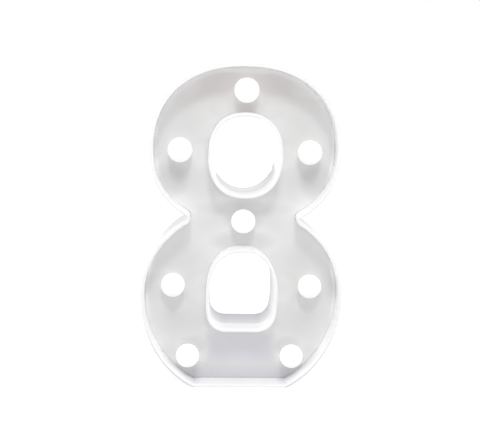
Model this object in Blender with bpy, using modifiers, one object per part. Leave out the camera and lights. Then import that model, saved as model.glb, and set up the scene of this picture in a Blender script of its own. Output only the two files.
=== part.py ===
"""A battery marquee number 8: a white moulded shell with a recessed face, eight opal bulbs and a screwed back.

Metres, +Z up. The origin is at the middle of the foot, +X is to the right seen from the front, and the
front looks along -Y.
"""

import math

import bmesh
import bpy
from mathutils import Matrix, Vector
from mathutils.geometry import intersect_line_line_2d

# Gaps and cutters
CLEARANCE = 0.0003
OVERRUN = 0.002
WELD = 0.000001

# Depths of the shell
RECESS = 0.012
WALL = 0.002
FACE_THICKNESS = 0.0018
LIP = 0.001
COVER_THICKNESS = 0.002

# Outline of the 8, outside the wall: two rounded lobes, a notch between them and a flat foot
HEIGHT = 0.220
UPPER_HALF_WIDTH = 0.062
UPPER_MIDDLE_SHARE = 0.4754
UPPER_POWER = 2.24
LOWER_HALF_WIDTH = 0.0679
LOWER_CENTRE_Z = 0.0639
LOWER_RISE = 0.0641
LOWER_DROP = 0.0722
LOWER_POWER = 2.06
LOBE_OVERLAP = 0.0157
NOTCH_RADIUS = 0.002
FOOT_INNER_CORNER_RADIUS = 0.0008

# Counters, outside their tube walls, and the bands of face above and between them
TOP_BAND = 0.0312
WAIST_BAND = 0.0347
UPPER_COUNTER_HALF_WIDTH = 0.0242
LOWER_COUNTER_HALF_WIDTH = 0.0243
LOWER_COUNTER_RAISED = 0.0021
LOWER_COUNTER_RISE = 0.0327
LOWER_COUNTER_DROP = 0.042
LOWER_COUNTER_FLOOR_Z = 0.0407
LOWER_COUNTER_CORNER_RADIUS = 0.013
COUNTER_POWER = 2.3

# Bulb: a globe cut flat where it sits on the face, with a neck that snaps through it
BULB_RADIUS = 0.0081
BULB_CENTRE_RISE = 0.0037
BULB_WALL = 0.0012
NECK_RADIUS = 0.0048
NECK_REACH = 0.0022
RIDGE_HEIGHT = 0.0005
RIDGE_LENGTH = 0.0009

# LED
LED_RADIUS = 0.0025
LED_BODY_LENGTH = 0.0076
LED_FLANGE_RADIUS = 0.0029
LED_FLANGE_LENGTH = 0.001
LED_LEAD_RADIUS = 0.00025
LED_LEAD_LENGTH = 0.0015
LED_LEAD_SPACING = 0.00254

# Cover screws, their bosses in the shell and pads on the cover
BOSS_RADIUS = 0.0032
SCREW_SHANK_RADIUS = 0.0012
SCREW_LENGTH = 0.009
SCREW_HEAD_RADIUS = 0.0027
SCREW_HEAD_HEIGHT = 0.0012
SCREW_HEAD_SINK = 0.0002
SCREW_CROSS_LENGTH = 0.0030
SCREW_CROSS_WIDTH = 0.0006
SCREW_CROSS_DEPTH = 0.0007
PAD_RADIUS = 0.0042
PAD_HEIGHT = 0.0016
RIB_THICKNESS = 0.0012
RIB_HEIGHT = 0.004

# Cells, lying side by side across the foot
CELL_DIAMETER = 0.0105
CELL_LENGTH = 0.0445
CELL_NUB_RADIUS = 0.0019
CELL_NUB_LENGTH = 0.0008
CELL_EDGE = 0.0004
CELL_GAP = 0.0006

# Battery bay in the cover, and its contacts
BAY_WALL = 0.0015
BAY_FLOOR = 0.0012
BAY_GAP = 0.0016
LEDGE_WIDTH = 0.0015
LEDGE_DEPTH = 0.002
CONTACT_THICKNESS = 0.0004
CONTACT_WIDTH = 0.008
CONTACT_DEPTH = 0.0075
TAB_WIDTH = 0.0024
TAB_REACH = 0.0015
SPRING_LENGTH = 0.0038
SPRING_WIRE_RADIUS = 0.00025
SPRING_BASE_RADIUS = 0.0032
SPRING_TIP_RADIUS = 0.0022

# Battery door
HOOK_WIDTH = 0.005
HOOK_THICKNESS = 0.0012
HOOK_REACH = 0.002
HOOK_LEG = 0.0012
SCOOP_RADIUS = 0.009
SCOOP_DEPTH = 0.001
GRIP_WIDTH = 0.012
GRIP_HEIGHT = 0.0006
GRIP_DEPTH = 0.0004
GRIP_PITCH = 0.0016

# Slide switch
SWITCH_LENGTH = 0.013
SWITCH_WIDTH = 0.007
SWITCH_HEIGHT = 0.0055
SWITCH_TRAVEL = 0.003
KNOB_LENGTH = 0.004
KNOB_WIDTH = 0.003
KNOB_ROOT = 0.0025
KNOB_SINK = 0.0004
KNOB_GROOVE = 0.0005
CRADLE_WALL = 0.0012
CRADLE_DEPTH = 0.004
TERMINAL_THICKNESS = 0.0005
TERMINAL_WIDTH = 0.0012
TERMINAL_LENGTH = 0.002
TERMINAL_PITCH = 0.004

# Keyhole hanger
KEYHOLE_ENTRY_RADIUS = 0.004
KEYHOLE_SLOT_RADIUS = 0.002
KEYHOLE_RISE = 0.007

# Wiring
TWIN_RADIUS = 0.0006
SINGLE_RADIUS = 0.0005
WIRE_RISE = 0.0018
BEND_LENGTH = 0.006

# Where things stand in the ring between the wall and the counters, as shares of that ring or lobe
TOP_BULB_SHARE = 0.49
UPPER_BULB_SHARE = 0.52
WAIST_BULB_SHARE = 0.51
LOWER_BULB_ACROSS_SHARE = 0.541
LOWER_BULB_UP_SHARE = 0.528
FOOT_BULB_ACROSS_SHARE = 0.551
FOOT_BULB_UP_SHARE = 0.494
UPPER_SCREW_SHARES = ((0.50, 0.54), (0.61, -0.576))
LOWER_SCREW_SHARES = ((0.65, 0.564), (0.77, -0.278))
SWITCH_ACROSS_SHARE = 0.563
SWITCH_UP_SHARE = 0.72
HOOK_PLACE_SHARE = 0.55

# Where the wiring turns beside a counter: shares of its lobe's half-width, and of the height between bulbs
WAIST_TURN_SHARES = (0.43, 0.62)
WAIST_PASS_SHARES = (0.42, 0.0)
UPPER_TURN_SHARES = (0.46, 0.48)
TOP_TURN_SHARES = (0.49, 0.47)
FOOT_TURN_SHARES = (0.64, 0.47)
END_RUN_SHARE = 0.95
MIDDLE_RUN_SHARE = 0.45

# Counts
LOBE_STEPS = 26
COUNTER_STEPS = 15
CORNER_STEPS = 5
ROUND_SIDES = 16
HOLE_SIDES = 12
SMALL_SIDES = 8
GLOBE_STEPS = 5
GLOBE_INSIDE_STEPS = 3
SPRING_TURNS = 3
SPRING_POINTS_PER_TURN = 9
BEND_STEPS = 3
GRIP_COUNT = 3

# Heights that follow from the sizes above
UPPER_BOTTOM_Z = LOWER_CENTRE_Z + LOWER_RISE - LOBE_OVERLAP
UPPER_DROP = (HEIGHT - UPPER_BOTTOM_Z) * UPPER_MIDDLE_SHARE
UPPER_CENTRE_Z = UPPER_BOTTOM_Z + UPPER_DROP
UPPER_RISE = HEIGHT - UPPER_CENTRE_Z
LOWER_COUNTER_Z = LOWER_CENTRE_Z + LOWER_COUNTER_RAISED
LOWER_COUNTER_TOP_Z = LOWER_COUNTER_Z + LOWER_COUNTER_RISE
UPPER_COUNTER_BOTTOM_Z = LOWER_COUNTER_TOP_Z + WAIST_BAND
UPPER_COUNTER_TOP_Z = HEIGHT - TOP_BAND
UPPER_COUNTER_HALF_HEIGHT = (UPPER_COUNTER_TOP_Z - UPPER_COUNTER_BOTTOM_Z) / 2
UPPER_COUNTER_Z = UPPER_COUNTER_BOTTOM_Z + UPPER_COUNTER_HALF_HEIGHT
BAY_CENTRE_Z = (WALL + LOWER_COUNTER_FLOOR_Z) / 2

# Depth planes that follow from the sizes above: the space behind the face takes the battery bay
INSIDE_DEPTH = BAY_GAP + BAY_FLOOR + CELL_DIAMETER + 3 * CLEARANCE
DEPTH = RECESS + FACE_THICKNESS + INSIDE_DEPTH + COVER_THICKNESS
FRONT = -DEPTH / 2
BACK = DEPTH / 2
FACE_FRONT = FRONT + RECESS
FACE_BACK = FACE_FRONT + FACE_THICKNESS
COVER_FRONT = BACK - COVER_THICKNESS
LEDGE = COVER_FRONT - CLEARANCE
NECK_BACK = FACE_BACK + NECK_REACH
LED_FLANGE_FRONT = NECK_BACK + CLEARANCE
LED_LEAD_BACK = LED_FLANGE_FRONT + LED_FLANGE_LENGTH + LED_LEAD_LENGTH
CELL_Y = LEDGE - CLEARANCE - CELL_DIAMETER / 2
BAY_FLOOR_Y = CELL_Y - CELL_DIAMETER / 2 - CLEARANCE

# The battery bay's inside, which the cells and contacts fill
BAY_HALF_LENGTH = (CELL_LENGTH + SPRING_LENGTH + 2 * CONTACT_THICKNESS + 5 * CLEARANCE) / 2
BAY_HALF_HEIGHT = CELL_DIAMETER + 1.5 * CELL_GAP
DOOR_HALF_LENGTH = BAY_HALF_LENGTH + LEDGE_WIDTH
DOOR_HALF_HEIGHT = BAY_HALF_HEIGHT + LEDGE_WIDTH
CELL_OFFSET_Z = (CELL_DIAMETER + CELL_GAP) / 2

WHITE = (0.86, 0.86, 0.85)
OPAL = (0.90, 0.89, 0.87)
STEEL = (0.62, 0.62, 0.63)
GREY = (0.45, 0.46, 0.48)
DARK = (0.05, 0.05, 0.06)
CLEAR = (0.85, 0.87, 0.85)
COPPER = (0.72, 0.33, 0.12)


# Outlines, as lists of (x, z)


def superellipse(half_width, rise, drop, power, centre_z, steps):
    """The right half of a lobe, from its top to its bottom."""
    points = []
    for step in range(steps + 1):
        angle = math.pi / 2 - math.pi * step / steps
        height = rise if angle > 0 else drop
        x = half_width * abs(math.cos(angle)) ** (2 / power)
        z = height * math.copysign(abs(math.sin(angle)) ** (2 / power), angle)
        points.append(Vector((x if 0 < step < steps else 0.0, centre_z + z)))
    return points


def left_normal(start, end):
    along = (end - start).normalized()
    return Vector((-along.y, along.x))


def moved(points, distance, closed):
    """The line of points moved by a distance to its left, which is outwards on a clockwise outline."""
    count = len(points)
    result = []
    for i, point in enumerate(points):
        before = points[i - 1] if i or closed else None
        after = points[(i + 1) % count] if i + 1 < count or closed else None
        normals = []
        if before is not None:
            normals.append(left_normal(before, point))
        if after is not None:
            normals.append(left_normal(point, after))
        mean = sum(normals, Vector((0.0, 0.0))).normalized()
        result.append(point + mean * distance / mean.dot(normals[0]))
    return result


def inset(outline, distance):
    return moved(outline, -distance, closed=True)


def join_round(first, second, radius, steps):
    """Two lines of points joined where they cross, by an arc: outside them if the radius is positive."""
    moved_first = moved(first, radius, closed=False)
    moved_second = moved(second, radius, closed=False)
    for i, (a, b) in enumerate(zip(moved_first, moved_first[1:])):
        for j, (c, d) in enumerate(zip(moved_second, moved_second[1:])):
            centre = intersect_line_line_2d(a, b, c, d)
            if centre is None:
                continue
            leave = -left_normal(first[i], first[i + 1]) * radius
            arrive = -left_normal(second[j], second[j + 1]) * radius
            turn = leave.angle_signed(arrive)
            arc = [centre + Matrix.Rotation(-turn * k / steps, 2) @ leave for k in range(steps + 1)]
            return first[: i + 1] + arc + second[j + 1 :]
    raise ValueError("the two lines don't cross")


def mirrored(half):
    """A closed clockwise outline from its right half. A point at X = 0 isn't doubled."""
    return half + [Vector((-point.x, point.y)) for point in reversed(half) if point.x > 0]


def floor_line(z, half_width):
    return [Vector((2 * half_width, z)), Vector((0.0, z))]


def figure_outline():
    upper = superellipse(
        UPPER_HALF_WIDTH, UPPER_RISE, UPPER_DROP, UPPER_POWER, UPPER_CENTRE_Z, LOBE_STEPS
    )
    lower = superellipse(
        LOWER_HALF_WIDTH, LOWER_RISE, LOWER_DROP, LOWER_POWER, LOWER_CENTRE_Z, LOBE_STEPS
    )
    half = join_round(upper, lower, NOTCH_RADIUS, CORNER_STEPS)
    floor = floor_line(0.0, LOWER_HALF_WIDTH)
    half = join_round(half, floor, -WALL - FOOT_INNER_CORNER_RADIUS, CORNER_STEPS)
    return mirrored(half[:-1])


def upper_counter_outline():
    height = UPPER_COUNTER_HALF_HEIGHT
    half = superellipse(
        UPPER_COUNTER_HALF_WIDTH, height, height, COUNTER_POWER, UPPER_COUNTER_Z, COUNTER_STEPS
    )
    return mirrored(half)


def lower_counter_outline():
    half = superellipse(
        LOWER_COUNTER_HALF_WIDTH,
        LOWER_COUNTER_RISE,
        LOWER_COUNTER_DROP,
        COUNTER_POWER,
        LOWER_COUNTER_Z,
        COUNTER_STEPS,
    )
    floor = floor_line(LOWER_COUNTER_FLOOR_Z, LOWER_COUNTER_HALF_WIDTH)
    half = join_round(half, floor, -LOWER_COUNTER_CORNER_RADIUS, CORNER_STEPS)
    return mirrored(half[:-1])


def circle(centre, radius, sides):
    """A clockwise circle, widened so that its flats stay on the radius."""
    reach = radius / math.cos(math.pi / sides)
    return [
        Vector(centre) + Matrix.Rotation(2 * math.pi * k / sides, 2) @ Vector((0.0, reach))
        for k in range(sides)
    ]


# Places


def between(low, high, share):
    return low + (high - low) * share


def bulb_places():
    """Each bulb's name and its (x, z) on the face."""
    upper_x = between(UPPER_COUNTER_HALF_WIDTH, UPPER_HALF_WIDTH - WALL, UPPER_BULB_SHARE)
    lower_x = between(LOWER_COUNTER_HALF_WIDTH, LOWER_HALF_WIDTH - WALL, LOWER_BULB_ACROSS_SHARE)
    lower_z = between(LOWER_COUNTER_FLOOR_Z, LOWER_COUNTER_TOP_Z, LOWER_BULB_UP_SHARE)
    foot_x = (LOWER_HALF_WIDTH - WALL) * FOOT_BULB_ACROSS_SHARE
    foot_z = LOWER_COUNTER_FLOOR_Z * FOOT_BULB_UP_SHARE
    return {
        "top": (0.0, between(UPPER_COUNTER_TOP_Z, HEIGHT - WALL, TOP_BULB_SHARE)),
        "upper_left": (-upper_x, UPPER_CENTRE_Z),
        "upper_right": (upper_x, UPPER_CENTRE_Z),
        "centre": (0.0, between(LOWER_COUNTER_TOP_Z, UPPER_COUNTER_BOTTOM_Z, WAIST_BULB_SHARE)),
        "lower_left": (-lower_x, lower_z),
        "lower_right": (lower_x, lower_z),
        "bottom_left": (-foot_x, foot_z),
        "bottom_right": (foot_x, foot_z),
    }


def screw_places():
    """The cover screws' (x, z), in mirror pairs."""
    places = []
    for across, up in UPPER_SCREW_SHARES:
        height = UPPER_RISE if up > 0 else UPPER_DROP
        places.append((UPPER_HALF_WIDTH * across, UPPER_CENTRE_Z + height * up))
    for across, up in LOWER_SCREW_SHARES:
        height = LOWER_RISE if up > 0 else LOWER_DROP
        places.append((LOWER_HALF_WIDTH * across, LOWER_CENTRE_Z + height * up))
    return [(side * x, z) for x, z in places for side in (-1, 1)]


def ribs():
    """The outline of each stiffening rib, from a screw boss straight out to the wall."""
    outlines = []
    for x, z in screw_places():
        upper = z > UPPER_BOTTOM_Z
        half_width = UPPER_HALF_WIDTH if upper else LOWER_HALF_WIDTH
        centre_z = UPPER_CENTRE_Z if upper else LOWER_CENTRE_Z
        rise, drop = (UPPER_RISE, UPPER_DROP) if upper else (LOWER_RISE, LOWER_DROP)
        power = UPPER_POWER if upper else LOWER_POWER
        height = rise if z > centre_z else drop
        spoke = Vector((x, z - centre_z))
        reach = (abs(spoke.x) / half_width) ** power + (abs(spoke.y) / height) ** power
        length = spoke.length * reach ** (-1 / power) - WALL / 2
        along = spoke.normalized()
        across = Vector((-along.y, along.x)) * RIB_THICKNESS / 2
        start, end = Vector((x, z)), Vector((0.0, centre_z)) + along * length
        start += along * (BOSS_RADIUS + SCREW_SHANK_RADIUS) / 2
        outlines.append([start + across, end + across, end - across, start - across])
    return outlines


def switch_place():
    return -LOWER_HALF_WIDTH * SWITCH_ACROSS_SHARE, LOWER_CENTRE_Z * SWITCH_UP_SHARE


# Making and joining meshes


def clear_scene():
    for obj in list(bpy.data.objects):
        bpy.data.objects.remove(obj, do_unlink=True)


def new_collection(name):
    collection = bpy.data.collections.new(name)
    bpy.context.scene.collection.children.link(collection)
    return collection


def material(name, colour, roughness, metallic=0.0):
    """The named Principled material, made on its first use."""
    found = bpy.data.materials.get(name)
    if found:
        return found
    made = bpy.data.materials.new(name)
    made.use_nodes = True
    shader = made.node_tree.nodes["Principled BSDF"]
    shader.inputs["Base Color"].default_value = (*colour, 1.0)
    shader.inputs["Roughness"].default_value = roughness
    shader.inputs["Metallic"].default_value = metallic
    return made


def tidy(mesh):
    """Caps welded to their sides, faces pointing out, round sides shaded smooth."""
    work = bmesh.new()
    work.from_mesh(mesh)
    bmesh.ops.remove_doubles(work, verts=work.verts, dist=WELD)
    bmesh.ops.recalc_face_normals(work, faces=work.faces)
    work.to_mesh(mesh)
    work.free()
    mesh.shade_smooth()
    mesh.set_sharp_from_angle(angle=math.radians(30))


def link_part(obj, finish):
    bpy.data.collections["marquee_number"].objects.link(obj)
    obj.data.materials.clear()
    obj.data.materials.append(finish)
    return obj


def link_cutter(obj):
    bpy.data.collections["cutters"].objects.link(obj)
    obj.hide_render = True
    obj.display_type = "WIRE"
    return obj


def from_curve(name, curve, matrix):
    """A mesh object from a curve, standing where the curve stood."""
    guide = bpy.data.objects.new(name + "_guide", curve)
    bpy.context.scene.collection.objects.link(guide)
    bpy.context.view_layer.update()
    graph = bpy.context.evaluated_depsgraph_get()
    mesh = bpy.data.meshes.new_from_object(guide.evaluated_get(graph))
    bpy.data.objects.remove(guide, do_unlink=True)
    bpy.data.curves.remove(curve)
    tidy(mesh)
    obj = bpy.data.objects.new(name, mesh)
    obj.matrix_world = matrix
    return obj


def plate(name, outlines, front, back):
    """A flat piece between two depths. An outline inside another is a hole."""
    curve = bpy.data.curves.new(name, "CURVE")
    curve.dimensions = "2D"
    curve.fill_mode = "BOTH"
    curve.extrude = (back - front) / 2
    for outline in outlines:
        spline = curve.splines.new("POLY")
        spline.points.add(len(outline) - 1)
        for point, place in zip(spline.points, outline):
            point.co = (place[0], place[1], 0.0, 1.0)
        spline.use_cyclic_u = True
    stand = Matrix.Translation((0.0, (front + back) / 2, 0.0)) @ Matrix.Rotation(math.pi / 2, 4, "X")
    return from_curve(name, curve, stand)


def box(name, low, high):
    """A box between two corners, with its origin at its middle."""
    work = bmesh.new()
    size = [h - l for l, h in zip(low, high)]
    bmesh.ops.create_cube(work, size=1.0, matrix=Matrix.Diagonal((*size, 1.0)))
    mesh = bpy.data.meshes.new(name)
    work.to_mesh(mesh)
    work.free()
    obj = bpy.data.objects.new(name, mesh)
    obj.location = [(l + h) / 2 for l, h in zip(low, high)]
    return obj


def rod(name, radius, start, end, sides):
    """A round bar from one point to another."""
    start = Vector(start)
    along = Vector(end) - start
    work = bmesh.new()
    bmesh.ops.create_cone(
        work, cap_ends=True, segments=sides, radius1=radius, radius2=radius, depth=along.length
    )
    mesh = bpy.data.meshes.new(name)
    work.to_mesh(mesh)
    work.free()
    tidy(mesh)
    obj = bpy.data.objects.new(name, mesh)
    turn = along.to_track_quat("Z", "Y").to_matrix().to_4x4()
    obj.matrix_world = Matrix.Translation(start + along / 2) @ turn
    return obj


def turned(name, profile, sides):
    """A turned piece about local Z. The profile runs down its outer side, from the top on the axis."""
    mesh = bpy.data.meshes.new(name)
    points = [(radius, 0.0, height) for radius, height in profile]
    mesh.from_pydata(points, [(i, i + 1) for i in range(len(points) - 1)], [])
    obj = bpy.data.objects.new(name, mesh)
    screw = obj.modifiers.new("turn", "SCREW")
    screw.steps = sides
    screw.render_steps = sides
    screw.use_merge_vertices = True
    screw.merge_threshold = WELD
    screw.use_smooth_shade = True
    return obj


def evaluated_mesh(obj):
    """The mesh that an unlinked object's modifiers make."""
    bpy.context.scene.collection.objects.link(obj)
    bpy.context.view_layer.update()
    mesh = bpy.data.meshes.new_from_object(obj.evaluated_get(bpy.context.evaluated_depsgraph_get()))
    bpy.data.objects.remove(obj, do_unlink=True)
    tidy(mesh)
    return mesh


def boolean(obj, other, operation):
    modifier = obj.modifiers.new(other.name, "BOOLEAN")
    modifier.operation = operation
    modifier.solver = "EXACT"
    modifier.object = link_cutter(other)


def cut(obj, other):
    boolean(obj, other, "DIFFERENCE")


def add(obj, other):
    boolean(obj, other, "UNION")


def facing_front(x, y, z):
    """The placement of a turned piece at this point, with its local Z towards the front."""
    return Matrix.Translation((x, y, z)) @ Matrix.Rotation(math.pi / 2, 4, "X")


# The shell


def front_shell():
    """Outer wall, recessed face, counter tubes and screw bosses, pocketed from one moulded block."""
    figure = figure_outline()
    counters = [upper_counter_outline(), lower_counter_outline()]
    bosses = [circle(place, BOSS_RADIUS, HOLE_SIDES) for place in screw_places()]
    shell = plate("front_shell", [figure], FRONT, BACK)

    inside = inset(figure, WALL)
    cut(shell, plate("recess_cutter", [inside, *counters], FRONT - OVERRUN, FACE_FRONT))
    cut(shell, plate("cavity_cutter", [inside, *counters, *bosses], FACE_BACK, BACK + OVERRUN))

    add(shell, plate("boss_ribs", ribs(), FACE_BACK - FACE_THICKNESS / 2, FACE_BACK + RIB_HEIGHT))

    bores = [inset(counter, WALL) for counter in counters]
    cut(shell, plate("counter_cutter", bores, FRONT - OVERRUN, BACK + OVERRUN))

    seat = [inset(figure, LIP)] + [inset(counter, WALL - LIP) for counter in counters]
    cut(shell, plate("cover_seat_cutter", seat, LEDGE, BACK + OVERRUN))

    boss_back = COVER_FRONT - PAD_HEIGHT - CLEARANCE
    tops = [circle(place, BOSS_RADIUS + OVERRUN / 2, HOLE_SIDES) for place in screw_places()]
    cut(shell, plate("boss_top_cutter", tops, boss_back, BACK + OVERRUN))
    pilots = [
        circle(place, SCREW_SHANK_RADIUS + CLEARANCE, SMALL_SIDES) for place in screw_places()
    ]
    pilot_front = BACK - SCREW_HEAD_SINK - SCREW_HEAD_HEIGHT - SCREW_LENGTH - CLEARANCE
    cut(shell, plate("pilot_cutter", pilots, pilot_front, BACK + OVERRUN))

    holes = [
        circle(place, NECK_RADIUS + RIDGE_HEIGHT / 2, ROUND_SIDES) for place in bulb_places().values()
    ]
    cut(shell, plate("bulb_hole_cutter", holes, FACE_FRONT - OVERRUN, FACE_BACK + OVERRUN))
    link_part(shell, material("white_shell_plastic", WHITE, 0.35))


# Bulbs and LEDs


def bulb_mesh():
    """The hollow opal globe, in a frame whose Z is 0 on the face."""
    inner_radius = BULB_RADIUS - BULB_WALL
    bore = LED_RADIUS + CLEARANCE
    floor = CLEARANCE + BULB_WALL
    outer_end = math.acos((CLEARANCE - BULB_CENTRE_RISE) / BULB_RADIUS)
    inner_end = math.acos((floor - BULB_CENTRE_RISE) / inner_radius)

    def arc(radius, end, steps):
        angles = [end * k / steps for k in range(steps + 1)]
        return [(radius * math.sin(a), BULB_CENTRE_RISE + radius * math.cos(a)) for a in angles]

    ridge_front = -FACE_THICKNESS - CLEARANCE
    neck = [
        (NECK_RADIUS, CLEARANCE),
        (NECK_RADIUS, ridge_front),
        (NECK_RADIUS + RIDGE_HEIGHT, ridge_front - RIDGE_HEIGHT),
        (NECK_RADIUS, ridge_front - RIDGE_LENGTH),
        (NECK_RADIUS, -FACE_THICKNESS - NECK_REACH),
        (bore, -FACE_THICKNESS - NECK_REACH),
        (bore, floor),
    ]
    inside = arc(inner_radius, inner_end, GLOBE_INSIDE_STEPS)
    profile = arc(BULB_RADIUS, outer_end, GLOBE_STEPS) + neck + inside[::-1]
    profile[0] = (0.0, BULB_CENTRE_RISE + BULB_RADIUS)
    profile[-1] = (0.0, BULB_CENTRE_RISE + inner_radius)
    return evaluated_mesh(turned("bulb", profile, ROUND_SIDES))


def led_mesh():
    """A 5 mm LED with trimmed leads, its Z 0 at the front of its flange."""
    cylinder_top = LED_BODY_LENGTH - LED_RADIUS
    dome = [math.pi / 2 * k / 3 for k in range(4)]
    profile = [
        (LED_RADIUS * math.sin(a), cylinder_top + LED_RADIUS * math.cos(a)) for a in dome
    ]
    profile[0] = (0.0, LED_BODY_LENGTH)
    profile += [
        (LED_RADIUS, 0.0),
        (LED_FLANGE_RADIUS, 0.0),
        (LED_FLANGE_RADIUS, -LED_FLANGE_LENGTH),
        (0.0, -LED_FLANGE_LENGTH),
    ]
    led = turned("led", profile, SMALL_SIDES)
    for side in (-1, 1):
        x = side * LED_LEAD_SPACING / 2
        end = -LED_FLANGE_LENGTH - LED_LEAD_LENGTH
        start = -LED_FLANGE_LENGTH / 2
        lead = rod("led_lead_cutter", LED_LEAD_RADIUS, (x, 0.0, start), (x, 0.0, end), 6)
        add(led, lead)
    return evaluated_mesh(led)


def bulbs_and_leds():
    globe = bulb_mesh()
    led = led_mesh()
    for name, (x, z) in bulb_places().items():
        bulb = bpy.data.objects.new("bulb_" + name, globe)
        bulb.matrix_world = facing_front(x, FACE_FRONT, z)
        link_part(bulb, material("opal_diffuser", OPAL, 0.3))
        lamp = bpy.data.objects.new("led_" + name, led)
        lamp.matrix_world = facing_front(x, LED_FLANGE_FRONT, z)
        link_part(lamp, material("clear_led_resin", CLEAR, 0.15))


# Back cover


def keyhole(cover):
    x, z = 0.0, bulb_places()["top"][1] - KEYHOLE_RISE / 2
    front, back = COVER_FRONT - OVERRUN, BACK + OVERRUN
    entry = circle((x, z), KEYHOLE_ENTRY_RADIUS, HOLE_SIDES)
    cut(cover, plate("keyhole_entry_cutter", [entry], front, back))
    half = [Vector((0.0, z + KEYHOLE_RISE + KEYHOLE_SLOT_RADIUS))]
    for k in range(1, CORNER_STEPS + 1):
        angle = math.pi / 2 - math.pi / 2 * k / CORNER_STEPS
        reach = Vector((math.cos(angle), math.sin(angle))) * KEYHOLE_SLOT_RADIUS
        half.append(Vector((0.0, z + KEYHOLE_RISE)) + reach)
    half.append(Vector((KEYHOLE_SLOT_RADIUS, z)))
    cut(cover, plate("keyhole_slot_cutter", [mirrored(half)], front, back))


def screw_seats(cover):
    pads = [circle(place, PAD_RADIUS, HOLE_SIDES) for place in screw_places()]
    add(cover, plate("screw_pads", pads, COVER_FRONT - PAD_HEIGHT, BACK - COVER_THICKNESS / 2))
    heads = [circle(place, SCREW_HEAD_RADIUS + CLEARANCE, HOLE_SIDES) for place in screw_places()]
    head_seat = BACK - SCREW_HEAD_SINK - SCREW_HEAD_HEIGHT - CLEARANCE
    cut(cover, plate("screw_head_cutter", heads, head_seat, BACK + OVERRUN))
    holes = [circle(place, SCREW_SHANK_RADIUS + CLEARANCE, SMALL_SIDES) for place in screw_places()]
    cut(cover, plate("screw_hole_cutter", holes, COVER_FRONT - PAD_HEIGHT - OVERRUN, BACK))


def battery_bay(cover):
    """A stepped tray: its rim carries the door, its inside holds the cells and contacts."""
    middle = COVER_FRONT + COVER_THICKNESS / 2
    rim_x = DOOR_HALF_LENGTH + CLEARANCE + BAY_WALL
    rim_z = DOOR_HALF_HEIGHT + CLEARANCE + BAY_WALL
    z = BAY_CENTRE_Z
    add(cover, box("bay_rim", (-rim_x, LEDGE - LEDGE_DEPTH, z - rim_z), (rim_x, middle, z + rim_z)))
    wall_x = BAY_HALF_LENGTH + BAY_WALL
    wall_z = BAY_HALF_HEIGHT + BAY_WALL
    floor_y = BAY_FLOOR_Y - BAY_FLOOR
    add(cover, box("bay_tray", (-wall_x, floor_y, z - wall_z), (wall_x, middle, z + wall_z)))

    half_x, half_z = BAY_HALF_LENGTH, BAY_HALF_HEIGHT
    inside = box(
        "bay_cutter", (-half_x, BAY_FLOOR_Y, z - half_z), (half_x, BACK + OVERRUN, z + half_z)
    )
    cut(cover, inside)
    door_x = DOOR_HALF_LENGTH + CLEARANCE
    door_z = DOOR_HALF_HEIGHT + CLEARANCE
    cut(cover, box("door_cutter", (-door_x, LEDGE, z - door_z), (door_x, BACK + OVERRUN, z + door_z)))

    for side in (-1, 1):
        x = side * DOOR_HALF_LENGTH * HOOK_PLACE_SHARE
        half = HOOK_WIDTH / 2 + CLEARANCE
        top = z + rim_z + OVERRUN
        sweep = math.hypot(COVER_THICKNESS + CLEARANCE + HOOK_THICKNESS, HOOK_REACH)
        low = (x - half, BACK - sweep - CLEARANCE, z + half_z - OVERRUN)
        cut(cover, box("hook_slot_cutter", low, (x + half, COVER_FRONT, top)))

    for side in (-1, 1):
        tab_z = z + side * CELL_OFFSET_Z
        half = TAB_WIDTH / 2 + CLEARANCE
        low_y = BAY_FLOOR_Y - OVERRUN
        high_y = BAY_FLOOR_Y + CONTACT_THICKNESS + 2 * CLEARANCE
        low = (-wall_x - OVERRUN, BAY_FLOOR_Y, tab_z - half)
        cut(cover, box("tab_slot_cutter", low, (-half_x + OVERRUN, high_y, tab_z + half)))


def switch_cradle(cover):
    """Four walls round the switch, and the window that its knob slides in."""
    x, z = switch_place()
    inner_x = SWITCH_WIDTH / 2 + CLEARANCE
    inner_z = SWITCH_LENGTH / 2 + CLEARANCE
    outer_x = inner_x + CRADLE_WALL
    outer_z = inner_z + CRADLE_WALL
    front = COVER_FRONT - CRADLE_DEPTH
    middle = COVER_FRONT + COVER_THICKNESS / 2
    add(cover, box("cradle", (x - outer_x, front, z - outer_z), (x + outer_x, middle, z + outer_z)))
    low = (x - inner_x, front - OVERRUN, z - inner_z)
    cut(cover, box("cradle_cutter", low, (x + inner_x, COVER_FRONT, z + inner_z)))
    half_x = KNOB_WIDTH / 2 + CLEARANCE
    half_z = (KNOB_LENGTH + SWITCH_TRAVEL) / 2 + CLEARANCE
    low = (x - half_x, front, z - half_z)
    cut(cover, box("knob_window_cutter", low, (x + half_x, BACK + OVERRUN, z + half_z)))


def back_cover():
    outline = inset(figure_outline(), LIP + CLEARANCE)
    reach = WALL - LIP - CLEARANCE
    holes = [inset(upper_counter_outline(), reach), inset(lower_counter_outline(), reach)]
    cover = plate("back_cover", [outline, *holes], COVER_FRONT, BACK)
    screw_seats(cover)
    keyhole(cover)
    battery_bay(cover)
    switch_cradle(cover)
    link_part(cover, material("white_cover_plastic", WHITE, 0.45))


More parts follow.
